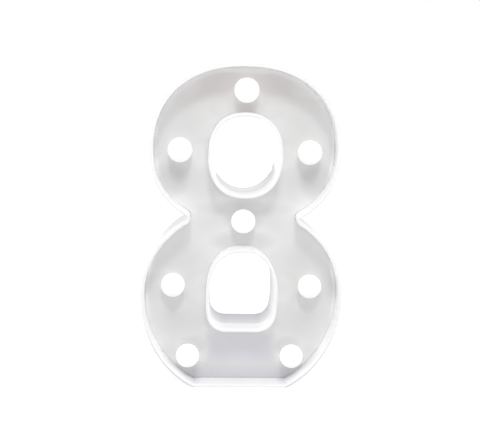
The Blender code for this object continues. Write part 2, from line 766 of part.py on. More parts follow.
def cover_screws():
    """Pan-head screws with a cross recess, their Z 0 at the front of the head and the shank below it."""
    profile = [
        (0.0, SCREW_HEAD_HEIGHT),
        (SCREW_HEAD_RADIUS * 0.7, SCREW_HEAD_HEIGHT),
        (SCREW_HEAD_RADIUS, SCREW_HEAD_HEIGHT * 0.45),
        (SCREW_HEAD_RADIUS, 0.0),
        (SCREW_SHANK_RADIUS, 0.0),
        (SCREW_SHANK_RADIUS, -SCREW_LENGTH + SCREW_SHANK_RADIUS),
        (0.0, -SCREW_LENGTH),
    ]
    screw = turned("cover_screw", profile, SMALL_SIDES)
    low_z = SCREW_HEAD_HEIGHT - SCREW_CROSS_DEPTH
    high_z = SCREW_HEAD_HEIGHT + OVERRUN
    for half_x, half_y in (
        (SCREW_CROSS_LENGTH / 2, SCREW_CROSS_WIDTH / 2),
        (SCREW_CROSS_WIDTH / 2, SCREW_CROSS_LENGTH / 2),
    ):
        low = (-half_x, -half_y, low_z)
        cut(screw, box("cross_cutter", low, (half_x, half_y, high_z)))
    mesh = evaluated_mesh(screw)
    head_front = BACK - SCREW_HEAD_SINK - SCREW_HEAD_HEIGHT
    for number, (x, z) in enumerate(screw_places(), start=1):
        copy = bpy.data.objects.new(f"cover_screw_{number}", mesh)
        turn = Matrix.Rotation(-math.pi / 2, 4, "X")
        copy.matrix_world = Matrix.Translation((x, head_front, z)) @ turn
        link_part(copy, material("zinc_screw", STEEL, 0.35, 1.0))


# Battery door


def battery_door():
    """The flush door: two hooks at its top edge turn behind the cover, a scoop below lets a finger in."""
    top = BAY_CENTRE_Z + DOOR_HALF_HEIGHT
    bottom = BAY_CENTRE_Z - DOOR_HALF_HEIGHT
    door = box(
        "battery_door",
        (-DOOR_HALF_LENGTH, COVER_FRONT, bottom),
        (DOOR_HALF_LENGTH, BACK, top),
    )
    toe_back = COVER_FRONT - CLEARANCE
    toe_front = toe_back - HOOK_THICKNESS
    for side in (-1, 1):
        x = side * DOOR_HALF_LENGTH * HOOK_PLACE_SHARE
        half = HOOK_WIDTH / 2
        leg_low = (x - half, toe_front, top - HOOK_LEG - CLEARANCE)
        leg_high = (x + half, COVER_FRONT + COVER_THICKNESS / 2, top - CLEARANCE)
        add(door, box("hook_leg", leg_low, leg_high))
        toe_low = (x - half, toe_front, top - HOOK_LEG - CLEARANCE)
        add(door, box("hook_toe", toe_low, (x + half, toe_back, top + HOOK_REACH)))
    scoop_z = bottom - SCOOP_RADIUS / 2
    start = (0.0, BACK - SCOOP_DEPTH, scoop_z)
    cut(door, rod("scoop_cutter", SCOOP_RADIUS, start, (0.0, BACK + OVERRUN, scoop_z), ROUND_SIDES))
    for k in range(GRIP_COUNT):
        z = bottom + SCOOP_RADIUS / 2 + GRIP_PITCH * (k + 1)
        low = (-GRIP_WIDTH / 2, BACK - GRIP_DEPTH, z - GRIP_HEIGHT / 2)
        high = (GRIP_WIDTH / 2, BACK + OVERRUN, z + GRIP_HEIGHT / 2)
        cut(door, box("grip_cutter", low, high))
    link_part(door, material("white_door_plastic", WHITE, 0.45))


# Cells and contacts


def cell_mesh():
    """A cell about local Z, its nub up and its middle at the origin."""
    radius = CELL_DIAMETER / 2
    top = CELL_LENGTH / 2 - CELL_NUB_LENGTH
    profile = [
        (0.0, CELL_LENGTH / 2),
        (CELL_NUB_RADIUS, CELL_LENGTH / 2),
        (CELL_NUB_RADIUS, top),
        (radius - CELL_EDGE, top),
        (radius, top - CELL_EDGE),
        (radius, -CELL_LENGTH / 2 + CELL_EDGE),
        (radius - CELL_EDGE, -CELL_LENGTH / 2),
        (0.0, -CELL_LENGTH / 2),
    ]
    return evaluated_mesh(turned("cell", profile, ROUND_SIDES))


def cell_row(side):
    """The height of the upper (1) or lower (-1) cell."""
    return BAY_CENTRE_Z + side * CELL_OFFSET_Z


def cells():
    """The upper cell's nub points to -X and the lower cell's to +X."""
    mesh = cell_mesh()
    nub_x = -BAY_HALF_LENGTH + CONTACT_THICKNESS + 2 * CLEARANCE
    middle = nub_x + CELL_LENGTH / 2
    for name, side in (("cell_upper", 1), ("cell_lower", -1)):
        cell = bpy.data.objects.new(name, mesh)
        turn = Matrix.Rotation(-side * math.pi / 2, 4, "Y")
        cell.matrix_world = Matrix.Translation((side * middle, CELL_Y, cell_row(side))) @ turn
        link_part(cell, material("cell_jacket", GREY, 0.4, 0.6))


def contacts():
    """Single plates at the -X end with tabs through the wall, one bridge plate at the +X end."""
    steel = material("nickel_contact", STEEL, 0.3, 1.0)
    outer = -BAY_HALF_LENGTH + CLEARANCE
    inner = outer + CONTACT_THICKNESS
    front = BAY_FLOOR_Y + CLEARANCE
    back = front + CONTACT_DEPTH
    tab_end = -BAY_HALF_LENGTH - BAY_WALL - TAB_REACH
    for name, side in (("positive_plate", 1), ("negative_plate", -1)):
        z = cell_row(side)
        half = CONTACT_WIDTH / 2
        contact = box(name, (outer, front, z - half), (inner, back, z + half))
        low = (tab_end, front, z - TAB_WIDTH / 2)
        high = (outer + CONTACT_THICKNESS / 2, front + CONTACT_THICKNESS, z + TAB_WIDTH / 2)
        add(contact, box("contact_tab", low, high))
        link_part(contact, steel)
    reach = CELL_OFFSET_Z + CONTACT_WIDTH / 2
    low = (-inner, front, BAY_CENTRE_Z - reach)
    bridge = box("bridge_plate", low, (-outer, back, BAY_CENTRE_Z + reach))
    link_part(bridge, steel)


def spring_points():
    """A cone of coils along local Z, from its base at 0 to its tip."""
    count = SPRING_TURNS * SPRING_POINTS_PER_TURN
    rise = SPRING_LENGTH - 2 * SPRING_WIRE_RADIUS
    points = []
    for k in range(count + 1):
        share = k / count
        angle = 2 * math.pi * SPRING_TURNS * share
        radius = between(SPRING_BASE_RADIUS, SPRING_TIP_RADIUS, share)
        height = SPRING_WIRE_RADIUS + rise * share
        points.append(Vector((radius * math.cos(angle), radius * math.sin(angle), height)))
    return points


def least_coil_gap(points):
    """The least gap between turns, surface to surface."""
    nearest = min(
        (first - second).length
        for i, first in enumerate(points)
        for second in points[i + SPRING_POINTS_PER_TURN // 2 :]
    )
    return nearest - 2 * SPRING_WIRE_RADIUS


def wire(name, points, radius, finish, resolution):
    curve = bpy.data.curves.new(name, "CURVE")
    curve.dimensions = "3D"
    curve.bevel_depth = radius
    curve.bevel_resolution = resolution
    curve.use_fill_caps = True
    spline = curve.splines.new("POLY")
    spline.points.add(len(points) - 1)
    for point, place in zip(spline.points, points):
        point.co = (*place, 1.0)
    return link_part(bpy.data.objects.new(name, curve), finish)


def springs():
    """The lower cell's spring stands at -X, the upper cell's at +X."""
    points = spring_points()
    print(f"least gap between spring turns: {1000 * least_coil_gap(points):.2f} mm")
    seat = BAY_HALF_LENGTH - CONTACT_THICKNESS - 2 * CLEARANCE
    for name, side in (("negative_spring", -1), ("bridge_spring", 1)):
        steel = material("spring_steel", STEEL, 0.3, 1.0)
        spring = wire(name, points, SPRING_WIRE_RADIUS, steel, 1)
        turn = Matrix.Rotation(-side * math.pi / 2, 4, "Y")
        spring.matrix_world = Matrix.Translation((side * seat, CELL_Y, cell_row(side))) @ turn


# Slide switch


def slide_switch():
    """A housing against the cover's inside, and a knob that slides up and down in its slot."""
    x, z = switch_place()
    back = COVER_FRONT - CLEARANCE
    front = back - SWITCH_HEIGHT
    half_x, half_z = SWITCH_WIDTH / 2, SWITCH_LENGTH / 2
    housing = box("switch_housing", (x - half_x, front, z - half_z), (x + half_x, back, z + half_z))
    for k in (-1, 0, 1):
        terminal_z = z + k * TERMINAL_PITCH
        low = (x - TERMINAL_THICKNESS / 2, front - TERMINAL_LENGTH, terminal_z - TERMINAL_WIDTH / 2)
        high = (x + TERMINAL_THICKNESS / 2, front + CRADLE_WALL, terminal_z + TERMINAL_WIDTH / 2)
        add(housing, box("terminal", low, high))
    slot_x = KNOB_WIDTH / 2 + CLEARANCE
    slot_z = (KNOB_LENGTH + SWITCH_TRAVEL) / 2 + CLEARANCE
    low = (x - slot_x, back - KNOB_ROOT - CLEARANCE, z - slot_z)
    cut(housing, box("slot_cutter", low, (x + slot_x, back + OVERRUN, z + slot_z)))
    link_part(housing, material("switch_can", STEEL, 0.4, 1.0))

    knob_z = z - SWITCH_TRAVEL / 2
    low = (x - KNOB_WIDTH / 2, back - KNOB_ROOT, knob_z - KNOB_LENGTH / 2)
    high = (x + KNOB_WIDTH / 2, BACK - KNOB_SINK, knob_z + KNOB_LENGTH / 2)
    knob = box("switch_knob", low, high)
    for k in (-1, 0, 1):
        groove_z = knob_z + k * KNOB_LENGTH / 4
        half = KNOB_GROOVE / 2
        low = (x - KNOB_WIDTH, BACK - KNOB_SINK - KNOB_GROOVE, groove_z - half)
        cut(knob, box("knob_groove", low, (x + KNOB_WIDTH, BACK + OVERRUN, groove_z + half)))
    link_part(knob, material("black_knob", DARK, 0.4))


# Wiring


def rounded_route(places):
    """The places joined by straight runs, with every corner rounded."""
    points = [places[0]]
    last = len(places) - 2
    for i in range(1, last + 1):
        before, corner, after = places[i - 1 : i + 2]
        leave = before - corner
        arrive = after - corner
        share_in = END_RUN_SHARE if i == 1 else MIDDLE_RUN_SHARE
        share_out = END_RUN_SHARE if i == last else MIDDLE_RUN_SHARE
        room = min(leave.length * share_in, arrive.length * share_out, BEND_LENGTH)
        start = corner + leave.normalized() * room
        end = corner + arrive.normalized() * room
        for k in range(BEND_STEPS + 1):
            share = k / BEND_STEPS
            points.append(start.lerp(corner, share).lerp(corner.lerp(end, share), share))
    points.append(places[-1])
    return points


def led_lead(name, side):
    """Where a wire meets an LED's left (-1) or right (1) lead, just behind it."""
    x, z = bulb_places()[name]
    return Vector((x + side * LED_LEAD_SPACING / 2, LED_LEAD_BACK + CLEARANCE, z))


def raised(point):
    """The point where a wire that left a lead straight back turns to run behind the face."""
    return point + Vector((0.0, WIRE_RISE, 0.0))


def turn_place(side, half_width, shares, low, high):
    """An (x, z) beside a counter: a share of the lobe's half-width, and a share of the way up between bulbs."""
    bulbs = bulb_places()
    across, up = shares
    return side * half_width * across, between(bulbs[low][1], bulbs[high][1], up)


def twin_links():
    """Twin lead from LED to LED, round the outside of the counters."""
    switch_x, switch_z = switch_place()
    lane_x = switch_x - SWITCH_WIDTH / 2 - CLEARANCE - CRADLE_WALL - 2 * TWIN_RADIUS
    lane_reach = SWITCH_LENGTH / 2 + CRADLE_WALL
    waist, turn = WAIST_TURN_SHARES, UPPER_TURN_SHARES
    links = (
        ("bottom_left", -1, "lower_left", 1, [(lane_x, switch_z - lane_reach), (lane_x, switch_z + lane_reach)]),
        ("lower_left", -1, "centre", -1, [turn_place(-1, LOWER_HALF_WIDTH, waist, "lower_left", "centre")]),
        ("centre", 1, "upper_left", -1, [turn_place(-1, UPPER_HALF_WIDTH, turn, "centre", "upper_left")]),
        ("upper_left", 1, "top", -1, [turn_place(-1, UPPER_HALF_WIDTH, TOP_TURN_SHARES, "upper_left", "top")]),
        ("top", 1, "upper_right", -1, [turn_place(1, UPPER_HALF_WIDTH, TOP_TURN_SHARES, "upper_right", "top")]),
        (
            "upper_right",
            1,
            "lower_right",
            -1,
            [
                turn_place(1, UPPER_HALF_WIDTH, turn, "centre", "upper_right"),
                turn_place(1, UPPER_HALF_WIDTH, WAIST_PASS_SHARES, "centre", "upper_right"),
                turn_place(1, LOWER_HALF_WIDTH, waist, "lower_right", "centre"),
            ],
        ),
        (
            "lower_right",
            1,
            "bottom_right",
            1,
            [turn_place(1, LOWER_HALF_WIDTH, FOOT_TURN_SHARES, "bottom_right", "lower_right")],
        ),
    )
    pvc = material("white_wire_jacket", WHITE, 0.5)
    for number, (first, first_side, second, second_side, middle) in enumerate(links, start=1):
        start, end = led_lead(first, first_side), led_lead(second, second_side)
        level = raised(start).y
        route = [start, raised(start)]
        route += [Vector((x, level, z)) for x, z in middle]
        route += [raised(end), end]
        wire(f"wire_link_{number}", rounded_route(route), TWIN_RADIUS, pvc, 1)


def single_wires():
    """Battery to switch, switch to the first LED, and that LED back to the battery."""
    x, z = switch_place()
    terminal_y = COVER_FRONT - CLEARANCE - SWITCH_HEIGHT - TERMINAL_LENGTH - CLEARANCE
    tab_x = -BAY_HALF_LENGTH - BAY_WALL - TAB_REACH - CLEARANCE
    tab_y = BAY_FLOOR_Y + CLEARANCE + CONTACT_THICKNESS / 2
    plus = Vector((tab_x, tab_y, cell_row(1)))
    minus = Vector((tab_x, tab_y, cell_row(-1)))
    out = Vector((-WIRE_RISE, 0.0, 0.0))
    down = Vector((0.0, -WIRE_RISE, 0.0))
    lower = Vector((x, terminal_y, z - TERMINAL_PITCH))
    middle = Vector((x, terminal_y, z))
    aside = middle + down + Vector((SWITCH_WIDTH / 2, 0.0, -TERMINAL_PITCH / 2))
    anode = led_lead("bottom_left", 1)
    cathode = led_lead("bottom_left", -1) - Vector((0.0, 0.0, TWIN_RADIUS + 2 * SINGLE_RADIUS))
    red = material("red_wire_jacket", (0.55, 0.03, 0.03), 0.5)
    black = material("black_wire_jacket", DARK, 0.5)
    routes = (
        ("wire_battery_to_switch", [plus, plus + out, aside, middle + down, middle], red),
        ("wire_switch_to_led", [lower, lower + down, raised(anode), anode], red),
        ("wire_battery_to_led", [minus, minus + out, raised(cathode), cathode], black),
    )
    for name, route, finish in routes:
        wire(name, rounded_route(route), SINGLE_RADIUS, finish, 1)


def build():
    clear_scene()
    new_collection("marquee_number")
    new_collection("cutters")
    front_shell()
    bulbs_and_leds()
    back_cover()
    cover_screws()
    battery_door()
    cells()
    contacts()
    springs()
    slide_switch()
    twin_links()
    single_wires()


build()
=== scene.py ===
"""Marquee number 8: its shell, bulbs, back, battery bay and wiring, dressed over the CAD frame.

Metres, +Z up, the front along -Y, the origin at the middle of the foot.
"""

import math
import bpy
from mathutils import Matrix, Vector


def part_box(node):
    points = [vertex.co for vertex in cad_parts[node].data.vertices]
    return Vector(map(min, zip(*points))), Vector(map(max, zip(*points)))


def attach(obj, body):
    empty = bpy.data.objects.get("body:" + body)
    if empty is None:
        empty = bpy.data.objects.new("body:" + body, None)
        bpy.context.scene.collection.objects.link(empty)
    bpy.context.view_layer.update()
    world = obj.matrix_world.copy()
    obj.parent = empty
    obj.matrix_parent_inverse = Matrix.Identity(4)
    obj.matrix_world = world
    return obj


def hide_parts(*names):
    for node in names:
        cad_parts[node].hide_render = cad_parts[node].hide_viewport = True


bl_info = {
    "name": "Marquee number 8",
    "version": (1, 0, 0),
    "blender": (4, 5, 0),
    "location": "3D View > Sidebar > Marquee",
    "description": "Makes the shell, bulbs, screws, cells and finishes of a marquee number",
    "category": "Object",
}

from collections import namedtuple
from functools import partial, reduce

import bmesh
import bpy
from mathutils import Matrix, Vector
from mathutils.geometry import intersect_line_line_2d

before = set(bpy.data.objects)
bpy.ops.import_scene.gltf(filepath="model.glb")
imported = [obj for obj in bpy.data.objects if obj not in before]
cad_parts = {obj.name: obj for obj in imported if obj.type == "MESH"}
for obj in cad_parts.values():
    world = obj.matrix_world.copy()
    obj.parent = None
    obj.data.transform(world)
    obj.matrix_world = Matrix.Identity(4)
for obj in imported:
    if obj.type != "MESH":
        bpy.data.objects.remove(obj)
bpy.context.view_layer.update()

PLACES = "top upper_left upper_right centre lower_left lower_right bottom_left bottom_right".split()
BULBS = ["bulb_" + place for place in PLACES]
SCREWS = [f"cover_screw_{number}" for number in range(1, 9)]
PLATES = ["positive_plate", "negative_plate", "bridge_plate"]
LINKS = [f"wire_link_{number}" for number in range(1, 8)]

# Lobes and counters: half width, rise above and drop below the centre, how square, centre's z
Lobe = namedtuple("Lobe", "half_width rise drop power centre")
UPPER_LOBE = Lobe(0.062, 0.0565, 0.0512, 2.24, 0.1635)
LOWER_LOBE = Lobe(0.0679, 0.0641, 0.0722, 2.06, 0.0639)
UPPER_COUNTER = Lobe(0.0242, 0.0277, 0.0277, 2.3, 0.1611)
LOWER_COUNTER = Lobe(0.0243, 0.0327, 0.042, 2.3, 0.066)

# The shell's other sizes, as in the CAD model
FRONT, BACK = (corner[1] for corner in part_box("front_shell"))
WALL = 0.002
LIP = 0.001
LEDGE = BACK - 0.0023
FACE_THICKNESS = 0.0018
FACE_FRONT = FRONT + 0.012
FACE_BACK = FACE_FRONT + FACE_THICKNESS
COUNTER_FLOOR_Z = 0.0407
COUNTER_CORNER = 0.013
NOTCH_RADIUS = 0.002
FOOT_CORNER = 0.0028
BOSS_RADIUS = 0.0032
PILOT_RADIUS = 0.0015
BOSS_BACK = BACK - 0.0039
PILOT_FRONT = BACK - 0.0107
RIB_THICKNESS = 0.0012
RIB_HEIGHT = 0.004

# Its finer shape: the bores' taper towards the back and the hairline round the face
BORE_POWER = 2.05
UPPER_DRAFT = 0.0003
LOWER_DRAFT = 0.0006
GROOVE = 0.00022
GROOVE_DEPTH = 0.0002

# Bulbs and screws. EASE is the small bevel of many edges, GAP the play between pieces, and
# PAST how far a cut runs past what it cuts
EASE = 0.0002
GAP = 0.0003
PAST = 0.0001
SHARP = 35  # degrees between two faces from which their edge stays sharp
BULB_RADIUS = 0.0081
BULB_RISE = 0.0037
BULB_WALL = 0.0012
NECK_RADIUS = 0.0048
NECK_BORE = 0.0028
NECK_REACH = 0.0022
NECK_HOLE_RADIUS = NECK_RADIUS + 0.00025
SNAP_RIDGE = 0.0005
SNAP_LENGTH = 0.0009
SCREW_HEAD = 0.0012
SCREW_SHANK = 0.0012
SCREW_LENGTH = 0.009
SCREW_TURNS = 9
CROWN_SHARE = 0.65
CROWN_SWEEP = math.radians(78)
HEAD_EDGE = SCREW_HEAD * 0.3
THREAD_START = 0.0012
THREAD_EDGE = 0.0003
THREAD_CORE = SCREW_SHANK * 0.78
POINT_LENGTH = 0.0006
POINT_RADIUS = SCREW_SHANK * 0.6
RECESS_DEPTH = 0.0009
RECESS_HALF_LENGTH = 0.0016
RECESS_HALF_WIDTH = 0.00036
RECESS_TAPER = 0.4

# The cover, with its screw seats, keyhole and switch cradle
COVER_FRONT = BACK - 0.002
COVER_ROUNDING = 0.0002
PAD_FRONT = COVER_FRONT - 0.0016
PAD_REACH = 0.0012
SCREW_SEAT_RADIUS = 0.003
SCREW_SEAT = BACK - 0.0017
SHANK_HOLE_RADIUS = 0.0015
KEYHOLE_ENTRY_RADIUS = 0.004
KEYHOLE_SLOT_RADIUS = 0.002
KEYHOLE_RISE = 0.007
CRADLE_WALL = 0.0012
CRADLE_FRONT = COVER_FRONT - 0.004
WINDOW_INSET = 0.0027
WINDOW_CORNER = 0.0004
MARK_DISTANCE = 0.0066
MARK_BEVEL = 0.00004
FONT_SIZE = 1.4  # for letters 1 high

# The battery bay and its door
HOOK_WIDTH = 0.005
HOOK_THICKNESS = 0.0012
HOOK_REACH = 0.002
HOOK_ROOT = 0.001
HOOK_SHARE = 0.55
BAY_WALL = 0.0015
BAY_FLOOR = 0.0012
BAY_FLOOR_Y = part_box("cell_upper")[0][1] - GAP
LEDGE_WIDTH = 0.0015
RIM_FRONT = LEDGE - 0.002
TAB_WIDTH = 0.0024
TAB_THICKNESS = 0.0004
SPRING_WIRE = 0.00025
SCOOP_RADIUS = 0.009
SCOOP_DEPTH = 0.001
SCOOP_ROUNDING = 0.0006
GRIP_SPACING = 0.0016
GRIP_HALF_LENGTH = 0.006
GRIP_HALF_WIDTH = 0.0003
GRIP_CORNER = 0.00028
GRIP_DEPTH = 0.0004
DOOR_LOW, DOOR_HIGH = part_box("battery_door")
DOOR_HALF_LENGTH = DOOR_HIGH[0]
DOOR_TOP = DOOR_HIGH[2] - HOOK_REACH
DOOR_BOTTOM = DOOR_LOW[2]
DOOR_HALF_HEIGHT = (DOOR_TOP - DOOR_BOTTOM) / 2
DOOR_Z = (DOOR_TOP + DOOR_BOTTOM) / 2
DOOR_CORNER = 0.0008

# The cells, from the tip and the seal round it to the rim and the jacket's paler band
TIP_RADIUS = 0.0019
TIP_HEIGHT = 0.0008
TIP_EDGE = 0.0003
SEAL_RADIUS = 0.0034
RIM_WIDTH = 0.0008
RIM_SLOPE = 0.0001
BAND_LENGTH = 0.011
BOTTOM_RISE = 0.00005

# Painted shadows on the face, then painted pools of light: x, z, half width, half height, strength
SHADED_PLACES = (
    (0.0, 0.1015, 0.026, 0.0095, 0.42),
    (0.0490, 0.1435, 0.0140, 0.0155, 0.33),
    (0.0385, 0.004, 0.0150, 0.0120, 0.45),
    (0.0325, 0.0265, 0.0115, 0.0085, 0.30),
    (0.0, 0.1245, 0.040, 0.0065, 0.16),
    (0.0165, 0.1900, 0.011, 0.0080, 0.12),
    (0.0, 0.1155, 0.0150, 0.0115, 0.34),
)
# Painted pools of light on the face, in the same columns
LIT_PLACES = (
    (0.0, 0.2170, 0.034, 0.0045, 0.50),
    (0.0400, 0.2050, 0.014, 0.0085, 0.20),
    (0.0285, 0.1600, 0.0095, 0.0105, 0.30),
    (0.0285, 0.0680, 0.0105, 0.0125, 0.32),
    (0.0465, 0.0560, 0.0120, 0.0090, 0.22),
    (0.0210, 0.0385, 0.0070, 0.0060, 0.28),
)
# How much paler the painted light and how much darker the painted shade make the face
LIT_TONE = 1.3
SHADED_TONE = 0.5

# Where painted shade darkens the shell's white. Four values are a fade: two coordinates, and the
# strength at each. Three are a band: middle, half width, blur
TUBE_RISE = (FACE_FRONT - 0.001, FACE_FRONT + 0.0005, 0.0, 0.5)
TUBE_SLOPE = (FACE_FRONT + 0.0005, BACK, 0.0, 0.5)
TUBE_LOW = (0.046, 0.060, 0.86, 0.2)
TUBE_SIDE = (0.013, 0.020, 1.0, 0.5)
CRESCENT = (FACE_FRONT - 0.0035, FACE_FRONT + 0.002, 0.0, 0.42)
UPPER_TUBE = (0.161, 0.030, 0.004)
TUBES_ACROSS = (0.0, 0.03, 0.001)
TUBES_ABOVE = (0.029, 0.031, 0.0, 1.0)
SILL_Z = (0.003, 0.004, 1.0, 0.0)
SILL_Y = (FRONT, FACE_FRONT, 0.0, 0.12)
NOTCH_X = (0.0455, 0.0095, 0.003)
NOTCH_Z = (0.109, 0.009, 0.003)
NOTCH_Y = (FRONT + 0.002, FRONT + 0.008, 0.0, 0.26)
CORNER_X = (0.0395, 0.0115, 0.003)
CORNER_Z = (0.010, 0.020, 1.0, 0.0)
CORNER_Y = (FRONT + 0.001, FACE_FRONT, 0.0, 0.76)
EDGE_SHARE = (0.985, 0.990, 0.0, 1.0)
EDGE_Y = (FRONT + 0.0012, FRONT + 0.0016, 1.0, 0.0)
EDGE_Z = (0.012, 0.040, 0.62, 0.14)
SHELL_SHADE = (0.55, 0.98, 1.06)

# The same for the painted shade and painted light on the face and the hairline round it, with tones
# as a factor, green and blue
# Warmer painted shade under the top rim
TOP_Z = (0.186, 0.2, 0.0, 1.0)
TOP_TONE = (0.985, 0.968, 0.955)
# Painted shade over where the battery holder stands behind the face, and above the foot
HOLDER_FOOT = (0.0135, 0.0145)
HOLDER_FADE = (0.022, 0.034, 1.0, 0.50)
HOLDER_TOP = (0.042, 0.044, 1.0, 0.0)
HOLDER_X = (0.001, 0.0235, 0.002)
HOLDER_SHADE_STRENGTH = 0.27
HOLDER_SHADE_TONE = (0.70, 0.985, 1.30)
FOOT_Z = (0.0015, 0.016, 0.88, 0.1)
FOOT_X = (0.0, 0.036, 0.010)
FOOT_SHADE_TONE = (0.70, 0.98, 1.09)
# Painted light at the waist, near the wall at the top and near the lobes' sides
WAIST_Z = (0.115, 0.016, 0.014)
WAIST_STRENGTH = 0.9
WAIST_LIGHT_TONE = 1.12
BORDER_SHARE = (0.90, 0.97, 0.0, 1.0)
BORDER_Z = (0.184, 0.210, 0.12, 0.95)
FLANK_SHARE = (0.925, 0.96, 0.0, 0.90)
LOWER_FLANK_Z = (0.068, 0.019, 0.008)
UPPER_FLANK_Z = (0.164, 0.018, 0.008)
# Painted shadow under the top and centre bulbs, and along the foot's seam
TOP_BULB_SHADOW_Z = (0.192, 0.0045, 0.003)
CENTRE_BULB_SHADOW_Z = (0.1265, 0.004, 0.003)
CENTRE_BULB_SHADOW_STRENGTH = 0.6
BULB_SHADOW_X = (0.0, 0.0085, 0.006)
BULB_AND_SEAM_SHADE_TONE = (0.72, 0.97, 0.95)
SEAM_Z = (0.0022, 0.0032, 0.9, 0.0)
# The hairline round the face: painted paler, with painted light near the top and painted shade in
# the notches and along the foot
HAIRLINE_TONE = 1.12
HAIRLINE_TOP_Z = (0.19, 0.205, 0.0, 1.0)
HAIRLINE_TOP_TONE = 1.33
HAIRLINE_NOTCH_X = 0.03
HAIRLINE_NOTCH_Z = (0.1185, 0.006, 0.003)
HAIRLINE_FOOT_Z = (0.006, 0.012, 1.0, 0.0)

# Plastics: roughness, scale of the grain, its share of the relief, depth, spread of the tone
PLASTICS = {
    "white shell": (0.34, 700.0, 0.35, 0.000008, 0.006),
    "grey face": (0.45, 1200.0, 0.6, 0.000006, 0.012),
    "seam shade": (0.6, 700.0, 0.4, 0.000005, 0.03),
    "opal diffuser": (0.42, 600.0, 0.4, 0.000004, 0.006),
    "clear resin": (0.12, 500.0, 0.2, 0.000002, 0.01),
    "textured cover": (0.55, 2600.0, 0.9, 0.00003, 0.012),
    "mark print": (0.5, 900.0, 0.5, 0.000004, 0.05),
    "cell jacket film": (0.25, 400.0, 0.2, 0.000003, 0.05),
    "cell band": (0.25, 400.0, 0.2, 0.000003, 0.03),
    "black knob": (0.42, 2200.0, 0.8, 0.00001, 0.05),
    "white wire jacket": (0.45, 800.0, 0.4, 0.000005, 0.02),
    "red wire jacket": (0.45, 800.0, 0.4, 0.000005, 0.04),
    "black wire jacket": (0.45, 800.0, 0.4, 0.000005, 0.05),
}

# Metals: colour, roughness, fineness of the streaks along x, y and z
METALS = {
    "zinc plated screw": ((0.42, 0.42, 0.44), 0.38, (1500.0, 1500.0, 1500.0)),
    "cell steel": ((0.66, 0.66, 0.66), 0.25, (900.0, 900.0, 900.0)),
    "nickel contact": ((0.66, 0.64, 0.60), 0.28, (400.0, 400.0, 4000.0)),
    "spring steel": ((0.60, 0.60, 0.60), 0.25, (2000.0, 2000.0, 2000.0)),
    "tinned switch can": ((0.30, 0.30, 0.31), 0.45, (400.0, 400.0, 4000.0)),
}
MID_NOISE = (0.3, 0.7)
PLASTIC_ROUGHNESS = (0.04, -0.04)
METAL_ROUGHNESS = (-0.06, 0.08)
METAL_TONES = (0.9, 1.08)

# Soft lights: name, place, width, height, the setting with its power, colour
LIGHTS = (
    ("key", (0.0, -0.956, 1.659), 0.36, 0.36, "key_power", (1.0, 0.99, 0.97)),
    ("front", (0.0, -1.2, 0.25), 0.8, 0.5, "front_power", (0.99, 0.99, 1.0)),
    ("fill", (-0.97, -0.26, 0.16), 0.5, 0.4, "fill_power", (0.98, 0.99, 1.0)),
    ("fill", (0.97, -0.26, 0.16), 0.5, 0.4, "fill_power", (0.98, 0.99, 1.0)),
    ("back", (0.0, 1.1, 0.02), 0.3, 0.025, "back_power", (1.0, 1.0, 1.0)),
)
LIGHTS_AIM = Vector((0.0, 0.0, 0.11))
WHITE = (1.0, 1.0, 1.0, 1.0)
FLOOR_GLOW = 0.70

# The camera, as the photograph was taken: yaw, pitch and roll in degrees
CAMERA_ANGLES = (2.93, -11.88, 1.55)
CAMERA_PLACE = (-0.02585, -0.46738, 0.21632)
CAMERA_LENS = 52.73


# Settings that a user would change

COLOUR = {"subtype": "COLOR", "size": 3, "min": 0.0, "max": 1.0}
WATTS = {"min": 0.0, "max": 50.0}


class ShellSettings(bpy.types.PropertyGroup):
    rim_rounding: bpy.props.FloatProperty(
        name="Rim rounding",
        description="Radius of the outer edge of the rim",
        default=0.0006,
        min=0.0001,
        max=0.0009,
        unit="LENGTH",
    )
    edge_rounding: bpy.props.FloatProperty(
        name="Edge rounding",
        description="Radius of the moulding's other edges",
        default=0.0003,
        min=0.0001,
        max=0.0004,
        unit="LENGTH",
    )
    shell_colour: bpy.props.FloatVectorProperty(
        name="Shell colour",
        description="The white plastic of the wall, rim and tubes",
        default=(0.93, 0.93, 0.935),
        **COLOUR,
    )
    # Painted shade: the face is the same white plastic as the wall, given this darker grey for the
    # shade in its recess
    face_colour: bpy.props.FloatVectorProperty(
        name="Face colour",
        description="The grey of the recessed face",
        default=(0.75, 0.75, 0.75),
        **COLOUR,
    )


class BulbSettings(bpy.types.PropertyGroup):
    opal_colour: bpy.props.FloatVectorProperty(
        name="Opal colour",
        description="The diffuser plastic of the bulbs",
        default=(0.47, 0.47, 0.466),
        **COLOUR,
    )
    glow: bpy.props.FloatProperty(
        name="Glow",
        description="How much light the bulbs give off themselves",
        default=0.57,
        min=0.0,
        max=5.0,
    )


class BackSettings(bpy.types.PropertyGroup):
    cover_colour: bpy.props.FloatVectorProperty(
        name="Cover colour",
        description="The textured plastic of the back cover and battery door",
        default=(0.88, 0.88, 0.875),
        **COLOUR,
    )
    jacket_colour: bpy.props.FloatVectorProperty(
        name="Cell jacket colour",
        description="The printed film round the cells",
        default=(0.06, 0.10, 0.15),
        **COLOUR,
    )
    mark_height: bpy.props.FloatProperty(
        name="Mark height",
        description="Height of the letters beside the switch",
        default=0.0026,
        min=0.001,
        max=0.005,
        unit="LENGTH",
    )


